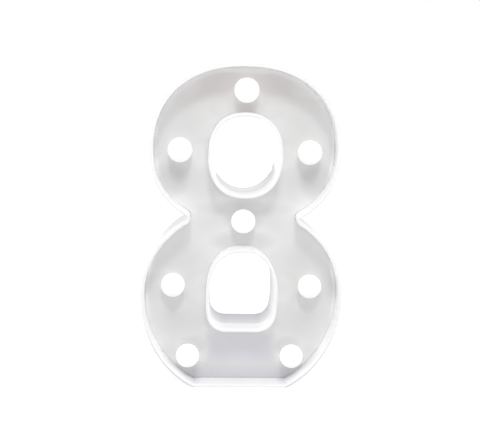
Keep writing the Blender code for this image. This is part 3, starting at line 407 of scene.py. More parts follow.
class StageSettings(bpy.types.PropertyGroup):
    ambient: bpy.props.FloatProperty(
        name="Ambient",
        description="Strength of the light that comes from all round",
        default=0.68,
        min=0.0,
        max=2.0,
    )
    key_power: bpy.props.FloatProperty(
        name="Key power",
        description="Power of the soft light above the front, in watts",
        default=9.9,
        **WATTS,
    )
    front_power: bpy.props.FloatProperty(
        name="Front power",
        description="Power of the broad light straight ahead, in watts",
        default=1.4,
        **WATTS,
    )
    fill_power: bpy.props.FloatProperty(
        name="Fill power",
        description="Power of each soft light at the sides, in watts",
        default=3.8,
        **WATTS,
    )
    back_power: bpy.props.FloatProperty(
        name="Back power",
        description="Power of the soft light behind, in watts",
        default=3.0,
        **WATTS,
    )


# Outlines, as clockwise lists of (x, z), and sections, as lists of (inset, depth)


def centre(node):
    """The middle of a CAD node's box."""
    return [(low + high) / 2 for low, high in zip(*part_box(node))]


def middle(node):
    """The middle of a CAD node's box, as (x, z)."""
    x, _, z = centre(node)
    return x, z


def arc(place, radius, start, end, steps=4):
    """Points round a place, between two angles in degrees."""
    points = []
    for k in range(steps + 1):
        angle = math.radians(start + (end - start) * k / steps)
        points.append((place[0] + radius * math.cos(angle), place[1] + radius * math.sin(angle)))
    return points


def circle(place, radius, sides):
    turns = (Matrix.Rotation(2 * math.pi * k / sides, 2) for k in range(sides))
    return [Vector(place) + turn @ Vector((0.0, radius)) for turn in turns]


def lobe_outline(sizes, steps):
    """The right half of a rounded lobe, from its top to its bottom."""
    points = []
    for step in range(steps + 1):
        angle = math.pi / 2 - math.pi * step / steps
        height = sizes.rise if angle > 0 else sizes.drop
        x = sizes.half_width * abs(math.cos(angle)) ** (2 / sizes.power)
        z = height * math.copysign(abs(math.sin(angle)) ** (2 / sizes.power), angle)
        points.append(Vector((x if 0 < step < steps else 0.0, sizes.centre + z)))
    return points


def left_normal(start, end):
    along = (end - start).normalized()
    return Vector((-along.y, along.x))


def turned(ring):
    """A ring from its second point on, with the first one last."""
    return ring[1:] + ring[:1]


def moved(points, distance, closed=True):
    """The line of points moved to its left, which is outwards on a clockwise outline."""
    after = [left_normal(*pair) for pair in zip(points, turned(points))]
    before = after[-1:] + after[:-1]
    if not closed:
        before[0], after[-1] = after[0], before[-1]
    result = []
    for point, first, second in zip(points, before, after):
        mean = (first + second).normalized()
        result.append(point + mean * distance / mean.dot(first))
    return result


def join_round(first, second, radius, steps):
    """Two lines joined by an arc where they cross: outside them if the radius is positive."""
    moved_first = moved(first, radius, closed=False)
    moved_second = moved(second, radius, closed=False)
    for i, (a, b) in enumerate(zip(moved_first, moved_first[1:])):
        for j, (c, d) in enumerate(zip(moved_second, moved_second[1:])):
            pivot = intersect_line_line_2d(a, b, c, d)
            if pivot is None:
                continue
            leave = -left_normal(first[i], first[i + 1]) * radius
            arrive = -left_normal(second[j], second[j + 1]) * radius
            step = -leave.angle_signed(arrive) / steps
            bend = [pivot + Matrix.Rotation(k * step, 2) @ leave for k in range(steps + 1)]
            return first[: i + 1] + bend + second[j + 1 :]
    raise ValueError("the two lines don't cross")


def mirrored(half):
    return half + [Vector((-point.x, point.y)) for point in reversed(half) if point.x > 0]


def floored(half, half_width, z, corner, steps):
    """The whole of an outline that ends on a floor line with rounded corners."""
    floor = [Vector((2 * half_width, z)), Vector((0.0, z))]
    return mirrored(join_round(half, floor, -corner, steps)[:-1])


def figure_outline():
    lobes = (lobe_outline(sizes, steps=96) for sizes in (UPPER_LOBE, LOWER_LOBE))
    half = join_round(*lobes, NOTCH_RADIUS, steps=10)
    return floored(half, LOWER_LOBE.half_width, 0.0, FOOT_CORNER, steps=8)


def counter_outlines():
    upper = mirrored(lobe_outline(UPPER_COUNTER, steps=56))
    half = lobe_outline(LOWER_COUNTER, steps=64)
    lower = floored(half, LOWER_COUNTER.half_width, COUNTER_FLOOR_Z, COUNTER_CORNER, steps=12)
    return [upper, lower]


def bore_ends():
    """The outlines that the bores taper to at the back: rounder above, narrower below."""
    upper = mirrored(lobe_outline(UPPER_COUNTER._replace(power=BORE_POWER), steps=56))
    return [moved(upper, -UPPER_DRAFT), moved(counter_outlines()[1], -LOWER_DRAFT)]


def tapered(outline, end, inset, depth):
    """An outline's inset line, drawn towards another outline with depth where it is on the bore."""
    line = moved(outline, -inset)
    if inset < WALL - LIP / 2:
        return line
    share = (depth - FRONT) / (BACK - FRONT)
    return [a.lerp(b, share) for a, b in zip(line, moved(end, -inset))]


def slab_outline(half_x, half_z, radius, place):
    """A rectangle with rounded corners."""
    corners = arc((half_x - radius, half_z - radius), radius, 90, 0, steps=5)
    corners += arc((half_x - radius, radius - half_z), radius, 0, -90, steps=5)
    half = [Vector((0.0, half_z)), *map(Vector, corners), Vector((0.0, -half_z))]
    return [point + Vector(place) for point in mirrored(half)]


def slab_levels(half_x, half_z, radius, place, section, least=0.0004):
    """A slab's outline at each inset and depth of a section."""
    levels = []
    for inset, depth in section:
        corner = max(radius - inset, least)
        levels.append((slab_outline(half_x - inset, half_z - inset, corner, place), depth))
    return levels


def keyhole_outline():
    """A round entry with a narrower slot above it, for the head of a nail."""
    x, z = middle("bulb_top")
    entry = z - KEYHOLE_RISE / 2
    meet = math.degrees(math.acos(KEYHOLE_SLOT_RADIUS / KEYHOLE_ENTRY_RADIUS))
    half = arc((0.0, entry + KEYHOLE_RISE), KEYHOLE_SLOT_RADIUS, 90, 0, steps=10)
    half += arc((0.0, entry), KEYHOLE_ENTRY_RADIUS, meet, -90, steps=20)
    half[0], half[-1] = (0.0, half[0][1]), (0.0, half[-1][1])
    return [point + Vector((x, 0.0)) for point in mirrored(list(map(Vector, half)))]


def opening_edge(inset):
    """The rounded back edge of an opening through the cover."""
    pivot = (inset - COVER_ROUNDING, BACK - COVER_ROUNDING)
    rounding = arc(pivot, COVER_ROUNDING, 90, 0, steps=3)
    return [(inset - 2 * COVER_ROUNDING, BACK), *rounding]


def outer_edge(inset):
    """The rounded back edge of the cover or the door."""
    pivot = (inset + COVER_ROUNDING, BACK - COVER_ROUNDING)
    rounding = arc(pivot, COVER_ROUNDING, 90, 180, steps=3)
    return [(inset + 2 * COVER_ROUNDING, BACK), *rounding, (inset, COVER_FRONT)]


def supported(section, reach=0.0002):
    """The section with a point near each end of its long lines, so that they shade flat."""
    points = [section[0]]
    for start, end in zip(section, section[1:]):
        line = Vector(end) - Vector(start)
        if line.length > 5 * reach:
            step = line.normalized() * reach
            points += [tuple(Vector(start) + step), tuple(Vector(end) - step)]
        points.append(end)
    return points


# Meshes


def linked(name, data):
    """A new object in the scene."""
    made = bpy.data.objects.new(name, data)
    bpy.context.scene.collection.objects.link(made)
    return made


def bridge(work, first, second, slot=0):
    """Faces between two rings of as many points."""
    for corners in zip(first, turned(first), turned(second), second):
        work.faces.new(corners).material_index = slot


def skin(work, levels, shaded=0):
    """Faces between outlines of as many points each, at their depths. Gives its end rings.

    The last levels, as many as shaded says, take the third material.
    """
    rings = []
    for points, depth in levels:
        rings.append([work.verts.new((point.x, depth, point.y)) for point in points])
    for index, pair in enumerate(zip(rings, rings[1:])):
        bridge(work, *pair, slot=2 if index >= len(rings) - 1 - shaded else 0)
    return rings[0], rings[-1]


def sweep(work, outline, section, shaded=0):
    """Skin along an outline, from a section."""
    levels = [(moved(outline, -inset), depth) for inset, depth in supported(section)]
    return skin(work, levels, shaded)


def fill_flat(work, rings, slot):
    """The flat area between rings that lie in one plane."""
    edges = [work.edges.get(pair) for ring in rings for pair in zip(ring, turned(ring))]
    made = bmesh.ops.triangle_fill(work, use_beauty=True, edges=edges, normal=(0.0, -1.0, 0.0))
    for item in made["geom"]:
        if isinstance(item, bmesh.types.BMFace):
            item.material_index = slot


def lathe(work, profile, sides, place=Matrix.Identity(4), slots=None):
    """A turned body from (radius, height) pairs, top to bottom, put in place by a matrix."""
    rings = []
    for radius, height in profile:
        ring = []
        for k in range(sides if radius else 1):
            angle = 2 * math.pi * k / sides
            point = Vector((radius * math.cos(angle), radius * math.sin(angle), height))
            ring.append(work.verts.new(place @ point))
        rings.append(ring)
    for index, (first, second) in enumerate(zip(rings, rings[1:])):
        if len(first) == 1:
            first = first * sides
        if len(second) == 1:
            second = second * sides
        for corners in zip(first, second, turned(second), turned(first)):
            # A pole's point comes twice and counts once
            face = work.faces.new(tuple(dict.fromkeys(corners)))
            face.material_index = slots[index] if slots else 0


def block(work, low, high):
    """A closed box between two corners."""
    size = Vector(high) - Vector(low)
    place = Matrix.Translation((Vector(low) + Vector(high)) / 2)
    bmesh.ops.create_cube(work, size=1.0, matrix=place @ Matrix.Diagonal((*size, 1.0)))


def wall_reach(sizes, spoke):
    """How far along a spoke from a lobe's centre its outline is."""
    across = abs(spoke.x) / sizes.half_width
    along = abs(spoke.y) / (sizes.rise if spoke.y > 0 else sizes.drop)
    share = across**sizes.power + along**sizes.power
    return spoke.length * share ** (-1 / sizes.power)


def boss_ribs(work):
    """A low rib behind the face from each screw boss out to the wall."""
    for x, z in map(middle, SCREWS):
        sizes = UPPER_LOBE if z > UPPER_LOBE.centre - UPPER_LOBE.drop else LOWER_LOBE
        spoke = Vector((x, z - sizes.centre))
        end = wall_reach(sizes, spoke) - WALL / 2
        start = spoke.length + (BOSS_RADIUS + PILOT_RADIUS) / 2
        along = spoke.normalized()
        turn = Matrix.Rotation(-math.atan2(along.y, along.x), 4, "Y")
        size = Matrix.Diagonal((end - start, RIB_HEIGHT + WALL / 2, RIB_THICKNESS, 1.0))
        reach = Vector((0.0, sizes.centre)) + along * (start + end) / 2
        place = Matrix.Translation((reach.x, FACE_BACK + (RIB_HEIGHT - WALL / 2) / 2, reach.y))
        bmesh.ops.create_cube(work, size=1.0, matrix=place @ turn @ size)


def finished(name, work, materials=(), sharp=SHARP):
    """The mesh object of a closed body: outward faces, smooth but for its sharp edges."""
    bmesh.ops.remove_doubles(work, verts=work.verts, dist=1e-7)
    bmesh.ops.recalc_face_normals(work, faces=work.faces)
    mesh = bpy.data.meshes.new(name)
    work.to_mesh(mesh)
    work.free()
    mesh.shade_smooth()
    mesh.set_sharp_from_angle(angle=math.radians(sharp))
    for material in materials:
        mesh.materials.append(material)
    return linked(name, mesh)


def plain_mesh(piece):
    """Turns an object's evaluated shape into its own mesh and drops its modifiers."""
    bpy.context.view_layer.update()
    graph = bpy.context.evaluated_depsgraph_get()
    mesh = bpy.data.meshes.new_from_object(piece.evaluated_get(graph))
    piece.modifiers.clear()
    piece.data = mesh


def combined(piece, work, operation):
    """The piece with a body cut from it or joined to it."""
    other = finished("other_body", work)
    boolean = piece.modifiers.new("combined", "BOOLEAN")
    boolean.operation = operation
    boolean.solver = "EXACT"
    boolean.object = other
    plain_mesh(piece)
    bpy.data.objects.remove(other, do_unlink=True)
    piece.data.set_sharp_from_angle(angle=math.radians(SHARP))


# Node trees


class Nodes:
    """Short ways to add and join the nodes of one tree."""

    def __init__(self, tree):
        self.tree = tree

    def feed(self, node, inputs):
        """Links or sets a node's inputs, given by their names or numbers."""
        for key, value in inputs.items():
            if isinstance(value, bpy.types.NodeSocket):
                self.tree.links.new(value, node.inputs[key])
            else:
                node.inputs[key].default_value = value
        return node

    def add(self, kind, inputs=(), **values):
        node = self.tree.nodes.new(kind)
        for key, value in values.items():
            setattr(node, key, value)
        return self.feed(node, dict(inputs))

    def math(self, operation, first, second=0.0, clamp=False):
        inputs = {0: first, 1: second}
        node = self.add("ShaderNodeMath", inputs, operation=operation, use_clamp=clamp)
        return node.outputs[0]

    def times(self, *values):
        return reduce(partial(self.math, "MULTIPLY"), values)

    def most(self, *values):
        return reduce(partial(self.math, "MAXIMUM"), values)

    def blend(self, share, first, second):
        """A colour between two colours."""
        inputs = {0: share, 6: first, 7: second}
        return self.add("ShaderNodeMix", inputs, data_type="RGBA").outputs[2]

    def span(self, value, low, high, to_low, to_high, kind="LINEAR"):
        """A value's change from low to high as a change from to_low to to_high, held outside."""
        inputs = dict(enumerate((value, low, high, to_low, to_high)))
        return self.add("ShaderNodeMapRange", inputs, interpolation_type=kind).outputs[0]

    def within(self, value, place, half, blur):
        """A mask of 1 where a coordinate is within half of a place."""
        away = self.math("ABSOLUTE", self.math("SUBTRACT", value, place))
        return self.span(away, half - blur, half + blur, 1.0, 0.0)

    def noise(self, vector, scale, detail):
        inputs = {"Scale": scale, "Detail": detail, "Vector": vector}
        return self.add("ShaderNodeTexNoise", inputs).outputs[0]

    def place(self):
        return self.add("ShaderNodeTexCoord").outputs["Object"]

    def axes(self):
        return self.add("ShaderNodeSeparateXYZ", {0: self.place()}).outputs

    def seen(self):
        """1 for what the camera sees, straight, in gloss or through clear plastic."""
        path = self.add("ShaderNodeLightPath").outputs
        straight = self.math("ADD", path["Is Camera Ray"], path["Is Glossy Ray"])
        return self.math("ADD", straight, path["Is Transmission Ray"], clamp=True)


def new_tree(name, kind, inputs, outputs):
    """A node group with its sockets. Gives its nodes, what it is given and its output node."""
    tree = bpy.data.node_groups.new(name, kind)
    for label, sort, default in inputs:
        socket = tree.interface.new_socket(label, in_out="INPUT", socket_type="NodeSocket" + sort)
        if default is not None:
            socket.default_value = default
    for label, sort in outputs:
        tree.interface.new_socket(label, in_out="OUTPUT", socket_type="NodeSocket" + sort)
    nodes = Nodes(tree)
    return nodes, nodes.add("NodeGroupInput").outputs, nodes.add("NodeGroupOutput")


def geometry_tree(name, inputs, build):
    """A geometry tree that ends in real geometry with its finish."""
    inputs = (*inputs, ("Finish", "Material", None))
    outputs = (("Geometry", "Geometry"),)
    nodes, given, result = new_tree(name, "GeometryNodeTree", inputs, outputs)
    real = nodes.add("GeometryNodeRealizeInstances", {0: build(nodes, given)})
    paint = {"Geometry": real.outputs[0], "Material": given["Finish"]}
    nodes.feed(result, {0: nodes.add("GeometryNodeSetMaterial", paint).outputs[0]})
    return nodes.tree


def repeat_tree():
    """Puts a piece at every point, turned about its own axis by a seeded amount."""

    def build(nodes, given):
        info = nodes.add("GeometryNodeObjectInfo", {"Object": given["Piece"]})
        limits = {3: given["Spin"], "Seed": given["Seed"]}
        spread = nodes.add("FunctionNodeRandomValue", limits, data_type="FLOAT")
        spin = nodes.add("ShaderNodeCombineXYZ", {"Z": spread.outputs[1]})
        placed = {
            "Points": given["Geometry"],
            "Instance": info.outputs["Geometry"],
            "Rotation": given["Tilt"],
        }
        place = nodes.add("GeometryNodeInstanceOnPoints", placed)
        spun = {"Instances": place.outputs[0], "Rotation": spin.outputs[0]}
        return nodes.add("GeometryNodeRotateInstances", spun).outputs[0]

    inputs = (
        ("Geometry", "Geometry", None),
        ("Piece", "Object", None),
        ("Tilt", "Vector", None),
        ("Spin", "Float", 0.0),
        ("Seed", "Int", 3),
    )
    return geometry_tree("Repeat at points", inputs, build)


def coil_tree():
    """A conical coil of round wire."""

    def build(nodes, given):
        path = {
            "Resolution": 32,
            "Rotations": given["Turns"],
            "Start Radius": given["Base Radius"],
            "End Radius": given["Tip Radius"],
            "Height": given["Height"],
        }
        spiral = nodes.add("GeometryNodeCurveSpiral", path)
        section = {"Resolution": 12, "Radius": given["Wire Radius"]}
        wire = nodes.add("GeometryNodeCurvePrimitiveCircle", section)
        tube = {"Curve": spiral.outputs[0], "Profile Curve": wire.outputs[0], "Fill Caps": True}
        return nodes.add("GeometryNodeCurveToMesh", tube).outputs[0]

    inputs = (
        ("Turns", "Float", 3.0),
        ("Base Radius", "Float", 0.0032),
        ("Tip Radius", "Float", 0.0022),
        ("Height", "Float", 0.0033),
        ("Wire Radius", "Float", SPRING_WIRE),
    )
    return geometry_tree("Conical coil", inputs, build)


def grow(piece, tree, values):
    """Gives a piece the mesh that a tree makes, with its inputs set by their labels."""
    modifier = piece.modifiers.new(tree.name, "NODES")
    modifier.node_group = tree
    for item in tree.interface.items_tree:
        if item.in_out == "INPUT" and item.name in values:
            modifier[item.identifier] = values[item.name]
    plain_mesh(piece)


def repeated(name, template, points, finish, tilt, spin=0.0):
    """One mesh of the template at every point. The template is removed."""
    mesh = bpy.data.meshes.new(name)
    mesh.from_pydata(points, [], [])
    piece = linked(name, mesh)
    values = {"Piece": template, "Tilt": tilt, "Spin": spin, "Finish": finish}
    grow(piece, repeat_tree(), values)
    bpy.data.objects.remove(template, do_unlink=True)
    return piece


# Materials


def skin_group(name, inputs, build):
    """A group that gives a Tone and a Height from Object coordinates, built once."""
    found = bpy.data.node_groups.get(name)
    if found:
        return found
    outputs = (("Tone", "Float"), ("Height", "Float"))
    nodes, given, result = new_tree(name, "ShaderNodeTree", inputs, outputs)
    tone, height = build(nodes, given, nodes.place())
    nodes.feed(result, {"Tone": tone, "Height": height})
    return nodes.tree


def moulding_group():
    """Plastic skin straight from the tool: a broad unevenness of tone and a fine grain."""

    def build(nodes, given, place):
        share = given["Grain Share"]
        fine = nodes.times(nodes.noise(place, given["Grain Scale"], detail=2.0), share)
        rest = nodes.math("SUBTRACT", 1.0, share)
        coarse = nodes.times(nodes.noise(place, scale=70.0, detail=2.0), rest)
        return nodes.noise(place, scale=22.0, detail=3.0), nodes.math("ADD", fine, coarse)

    inputs = (("Grain Scale", "Float", 900.0), ("Grain Share", "Float", 0.5))
    return skin_group("Moulded skin", inputs, build)


def metal_group():
    """Rolled and plated sheet: fine streaks along one direction and faint spots."""

    def build(nodes, given, place):
        stretch = {0: place, 1: given["Streaks"]}
        streaks = nodes.add("ShaderNodeVectorMath", stretch, operation="MULTIPLY").outputs[0]
        tone = nodes.noise(place, scale=500.0, detail=4.0)
        return tone, nodes.noise(streaks, scale=1.0, detail=3.0)

    inputs = (("Streaks", "Vector", (400.0, 400.0, 4000.0)),)
    return skin_group("Plated metal", inputs, build)


class Finish(Nodes):
    """A new material, with its nodes and its shader."""

    def __init__(self, name):
        self.material = bpy.data.materials.new(name)
        self.material.use_nodes = True
        super().__init__(self.material.node_tree)
        self.shader = self.tree.nodes["Principled BSDF"]

    def set(self, values):
        self.feed(self.shader, values)

    def texture(self, skin, dark, pale, roughness, strength, depth):
        """Tone and relief from a group's outputs, and the roughness given."""
        tone = self.span(skin["Tone"], *MID_NOISE, 0.0, 1.0)
        relief = {"Strength": strength, "Distance": depth, "Height": skin["Height"]}
        normal = self.add("ShaderNodeBump", relief).outputs[0]
        colour = self.blend(tone, dark, pale)
        self.set({"Base Color": colour, "Roughness": roughness, "Normal": normal})

    def tint(self, mask, colour):
        """Another colour where the mask says, over what is there."""
        under = self.shader.inputs["Base Color"].links[0].from_socket
        self.set({"Base Color": self.blend(mask, under, colour)})


def toned(colour, factor, green=1.0, blue=1.0):
    """A colour made paler or darker, with its green and blue turned up or down."""
    channels = [min(1.0, channel * factor) for channel in colour[:3]]
    return channels[0], channels[1] * green, channels[2] * blue, 1.0


def plastic(name, colour):
    """Moulded plastic, by its row in the table."""
    rough, scale, share, depth, spread = PLASTICS[name]
    finish = Finish(name)
    grain = {"Grain Scale": scale, "Grain Share": share}
    skin = finish.add("ShaderNodeGroup", grain, node_tree=moulding_group()).outputs
    dark, pale = toned(colour, 1.0 - spread), toned(colour, 1.0 + spread)
    limits = [rough + change for change in PLASTIC_ROUGHNESS]
    roughness = finish.span(skin["Tone"], *MID_NOISE, *limits)
    finish.texture(skin, dark, pale, roughness, strength=1.0, depth=depth)
    return finish


def metal(name):
    """Rolled or plated metal, by its row in the table."""
    colour, rough, streaks = METALS[name]
    finish = Finish(name)
    skin = finish.add("ShaderNodeGroup", {"Streaks": streaks}, node_tree=metal_group()).outputs
    limits = [rough + change for change in METAL_ROUGHNESS]
    roughness = finish.span(skin["Height"], *MID_NOISE, *limits)
    dark, pale = (toned(colour, factor) for factor in METAL_TONES)
    finish.texture(skin, dark, pale, roughness, strength=0.4, depth=0.00001)
    finish.set({"Metallic": 1.0})
    return finish.material


def lobe_share(nodes, x, z):
    """How far out a place is in its lobe: 1 on the outline, 0 at the lobe's centre."""
    shares = []
    for sizes in (UPPER_LOBE, LOWER_LOBE):
        away = nodes.math("SUBTRACT", z, sizes.centre)
        above = nodes.math("GREATER_THAN", away, 0.0)
        height = nodes.math("ADD", nodes.times(above, sizes.rise - sizes.drop), sizes.drop)
        across = nodes.math("DIVIDE", nodes.math("ABSOLUTE", x), sizes.half_width)
        along = nodes.math("DIVIDE", nodes.math("ABSOLUTE", away), height)
        powers = [nodes.math("POWER", value, sizes.power) for value in (across, along)]
        shares.append(nodes.math("POWER", nodes.math("ADD", *powers), 1 / sizes.power))
    return nodes.math("MINIMUM", *shares)


def patches(nodes, x, z, places):
    """A soft mask of places on both sides: (x, z, half width, half height, strength) each."""
    side = nodes.math("ABSOLUTE", x)
    total = 0.0
    for place_x, place_z, half_x, half_z, strength in places:
        squares = []
        for value, place, half in ((side, place_x, half_x), (z, place_z, half_z)):
            share = nodes.math("DIVIDE", nodes.math("SUBTRACT", value, place), half)
            squares.append(nodes.times(share, share))
        away = nodes.math("ADD", *squares)
        fall = nodes.span(away, 0.0, 1.0, strength, 0.0, kind="SMOOTHSTEP")
        total = nodes.math("ADD", total, fall, clamp=True)
    return total


def shell_finish(settings):
    """White plastic with painted shade, cooler and duller, down the counters' tubes past the face,
    on the wall inside and along the rim's outer edge.
    """
    finish = plastic("white shell", settings.shell_colour)
    span, within, times = finish.span, finish.within, finish.times
    x, y, z = finish.axes()
    side = finish.math("ABSOLUTE", x)

    # Painted shade in the counters' tubes: their bottoms, the upper counter's crescent, and where
    # they are
    slope = span(y, *TUBE_SLOPE)
    low = times(span(z, *TUBE_LOW), span(side, *TUBE_SIDE))
    bottom = times(finish.math("ADD", span(y, *TUBE_RISE), slope), low)
    crescent = finish.math("SUBTRACT", span(y, *CRESCENT), slope)
    upper = times(within(z, *UPPER_TUBE), crescent)
    inside = times(within(x, *TUBES_ACROSS), span(z, *TUBES_ABOVE))
    tube = times(inside, finish.most(bottom, upper))

    # Painted shade on the wall inside: above the foot, in the notches and beside the foot's corners
    sill = times(span(z, *SILL_Z), span(y, *SILL_Y))
    notch = times(within(side, *NOTCH_X), within(z, *NOTCH_Z), span(y, *NOTCH_Y))
    corner = times(within(side, *CORNER_X), span(z, *CORNER_Z), span(y, *CORNER_Y))

    # Painted shade along the rim's outer edge
    share = lobe_share(finish, x, z)
    edge = times(span(share, *EDGE_SHARE), span(y, *EDGE_Y), span(z, *EDGE_Z))

    shade = finish.most(tube, sill, notch, corner, edge)
    finish.tint(shade, toned(settings.shell_colour, *SHELL_SHADE))
    return finish.material


def face_finish(settings):
    """The grey face, a painted shade of the wall's white, with painted shade and painted light over
    it in places.
    """
    grey = settings.face_colour
    finish = plastic("grey face", grey)
    span, within, times, most = finish.span, finish.within, finish.times, finish.most
    x, _, z = finish.axes()
    # A warmer painted shade under the top rim
    finish.tint(span(z, *TOP_Z), toned(grey, *TOP_TONE))

    # Painted shade: cooler over where the battery holder stands behind the face, and cooler and
    # darker above the foot below it
    tall = times(span(z, *HOLDER_FOOT, 0.0, 1.0), span(z, *HOLDER_FADE), span(z, *HOLDER_TOP))
    bay = times(within(x, *HOLDER_X), tall, HOLDER_SHADE_STRENGTH)
    finish.tint(bay, toned(grey, *HOLDER_SHADE_TONE))
    below = times(span(z, *FOOT_Z), within(x, *FOOT_X), span(z, *HOLDER_FOOT, 1.0, 0.0))
    finish.tint(below, toned(grey, *FOOT_SHADE_TONE))

    # Painted light: paler at the waist, near the wall at the top and near the lobes' sides
    finish.tint(times(within(z, *WAIST_Z), WAIST_STRENGTH), toned(grey, WAIST_LIGHT_TONE))
    share = lobe_share(finish, x, z)
    border = times(span(share, *BORDER_SHARE), span(z, *BORDER_Z))
    flank = most(within(z, *LOWER_FLANK_Z), within(z, *UPPER_FLANK_Z))
    flank = times(flank, span(share, *FLANK_SHARE))
    finish.tint(most(border, flank), toned(grey, LIT_TONE))
    # Painted shadows and painted pools of light at the listed places
    finish.tint(patches(finish, x, z, SHADED_PLACES), toned(grey, SHADED_TONE))
    finish.tint(patches(finish, x, z, LIT_PLACES), toned(grey, LIT_TONE))

    # Painted shadow, darker and warmer, under the top and centre bulbs and along the foot's seam
    centre_bulb_shadow = times(within(z, *CENTRE_BULB_SHADOW_Z), CENTRE_BULB_SHADOW_STRENGTH)
    bulb_shadow = times(most(within(z, *TOP_BULB_SHADOW_Z), centre_bulb_shadow), within(x, *BULB_SHADOW_X))
    finish.tint(most(bulb_shadow, span(z, *SEAM_Z)), toned(grey, *BULB_AND_SEAM_SHADE_TONE))
    return finish.material


def seam_finish(settings):
    """The hairline round the face, painted paler than the face, with painted light near the top and
    painted shade in the notches and along the foot.
    """
    grey = settings.face_colour
    finish = plastic("seam shade", toned(grey, HAIRLINE_TONE))
    x, _, z = finish.axes()
    finish.tint(finish.span(z, *HAIRLINE_TOP_Z), toned(grey, HAIRLINE_TOP_TONE))
    beside = finish.math("GREATER_THAN", finish.math("ABSOLUTE", x), HAIRLINE_NOTCH_X)
    notch = finish.times(finish.within(z, *HAIRLINE_NOTCH_Z), beside)
    foot = finish.span(z, *HAIRLINE_FOOT_Z)
    finish.tint(finish.most(notch, foot), toned(grey, SHADED_TONE))
    return finish.material


def cover_material(settings):
    """Spark textured plastic, one material for the cover and its door."""
    found = bpy.data.materials.get("textured cover")
    return found or plastic("textured cover", settings.cover_colour).material


def repaint(nodes, material):
    """Gives CAD nodes that stay in view their material."""
    for node in nodes:
        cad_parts[node].material_slots[0].material = material


# Operators, one for each piece or group of like pieces


class MARQUEE_OT_stage(bpy.types.Operator):
    """The floor, light and camera"""

    bl_idname = "marquee.stage"
    bl_label = "Stage"

    def floor(self):
        work = bmesh.new()
        bmesh.ops.create_grid(work, x_segments=1, y_segments=1, size=4.0)
        mesh = bpy.data.meshes.new("floor")
        work.to_mesh(mesh)
        work.free()
        finish = Finish("white floor")
        matt = {"Base Color": (0.5, 0.5, 0.5, 1.0), "Roughness": 0.9, "Specular IOR Level": 0.0}
        finish.set(matt)
        glow = {"Color": WHITE, "Strength": finish.times(finish.seen(), FLOOR_GLOW)}
        lit = finish.add("ShaderNodeEmission", glow)
        both = finish.add("ShaderNodeAddShader", {0: finish.shader.outputs[0], 1: lit.outputs[0]})
        finish.feed(finish.tree.nodes["Material Output"], {"Surface": both.outputs[0]})
        mesh.materials.append(finish.material)
        floor = linked("floor", mesh)

    def world(self, strength):
        world = bpy.data.worlds.new("white studio")
        bpy.context.scene.world = world
        world.use_nodes = True
        nodes = Nodes(world.node_tree)
        level = nodes.span(nodes.seen(), 0.0, 1.0, strength, 1.0)
        nodes.feed(world.node_tree.nodes["Background"], {"Color": WHITE, "Strength": level})

    def softbox(self, name, place, width, height, power, colour):
        """A soft light aimed at the middle of the object."""
        light = bpy.data.lights.new(name, "AREA")
        light.shape = "RECTANGLE"
        light.size = width
        light.size_y = height
        light.energy = power
        light.color = colour
        lamp = linked(name, light)
        lamp.location = place
        aim = LIGHTS_AIM - lamp.location
        lamp.rotation_euler = aim.to_track_quat("-Z", "Y").to_euler()

    def camera(self):
        yaw, pitch, roll = map(math.radians, CAMERA_ANGLES)
        turn = Matrix.Rotation(-yaw, 4, "Z") @ Matrix.Rotation(math.pi / 2 + pitch, 4, "X")
        turn = turn @ Matrix.Rotation(roll, 4, "Z")
        data = bpy.data.cameras.new("camera")
        data.lens = CAMERA_LENS
        data.sensor_fit = "HORIZONTAL"
        data.sensor_width = 36.0
        data.clip_start = 0.01
        camera = linked("camera", data)
        camera.matrix_world = Matrix.Translation(CAMERA_PLACE) @ turn
        bpy.context.scene.camera = camera

    def execute(self, context):
        settings = context.scene.marquee_stage
        context.scene.view_settings.view_transform = "Standard"
        self.floor()
        self.world(settings.ambient)
        for name, place, width, height, setting, colour in LIGHTS:
            self.softbox(name, place, width, height, getattr(settings, setting), colour)
        self.camera()
        return {"FINISHED"}


class MARQUEE_OT_shell(bpy.types.Operator):
    """The moulded shell: outer wall, grey face, counter tubes and screw bosses"""

    bl_idname = "marquee.shell"
    bl_label = "Moulded shell"

    def execute(self, context):
        settings = context.scene.marquee_shell
        big, small = settings.rim_rounding, settings.edge_rounding
        groove = FACE_FRONT + GROOVE_DEPTH
        wall = [(WALL, FACE_BACK), (WALL, LEDGE), (LIP, LEDGE)]
        wall += arc((LIP - small, BACK - small), small, 0, 90)
        wall += arc((small, BACK - small), small, 90, 180)
        wall += arc((big, FRONT + big), big, 180, 270, steps=6)
        wall += arc((WALL - small, FRONT + small), small, 270, 360)
        wall += [(WALL, groove), (WALL + GROOVE, groove), (WALL + GROOVE, FACE_FRONT)]
        work = bmesh.new()
        pairs = [sweep(work, figure_outline(), wall, shaded=2)]
        tube = supported([(WALL - inset, depth) for inset, depth in wall])
        for outline, end in zip(counter_outlines(), bore_ends()):
            levels = [(tapered(outline, end, *point), point[1]) for point in tube]
            pairs.append(skin(work, levels, shaded=2))
        hole = [(0.0, FACE_BACK), (0.0, FACE_FRONT + small), (-small, FACE_FRONT)]
        for bulb in BULBS:
            pairs.append(sweep(work, circle(middle(bulb), NECK_HOLE_RADIUS, sides=32), hole))
        back_rings, front_rings = map(list, zip(*pairs))

        reach = BOSS_RADIUS - PILOT_RADIUS
        boss = [(0.0, FACE_BACK), (0.0, BOSS_BACK), (reach, BOSS_BACK), (reach, PILOT_FRONT)]
        for screw in SCREWS:
            behind, deep = sweep(work, circle(middle(screw), BOSS_RADIUS, sides=24), boss)
            back_rings.append(behind)
            work.faces.new(deep)
        fill_flat(work, back_rings, 0)
        fill_flat(work, front_rings, 1)
        boss_ribs(work)
        finishes = [shell_finish(settings), face_finish(settings), seam_finish(settings)]
        piece = finished("moulded_shell", work, finishes)
        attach(piece, "lamp")
        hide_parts("front_shell")
        return {"FINISHED"}


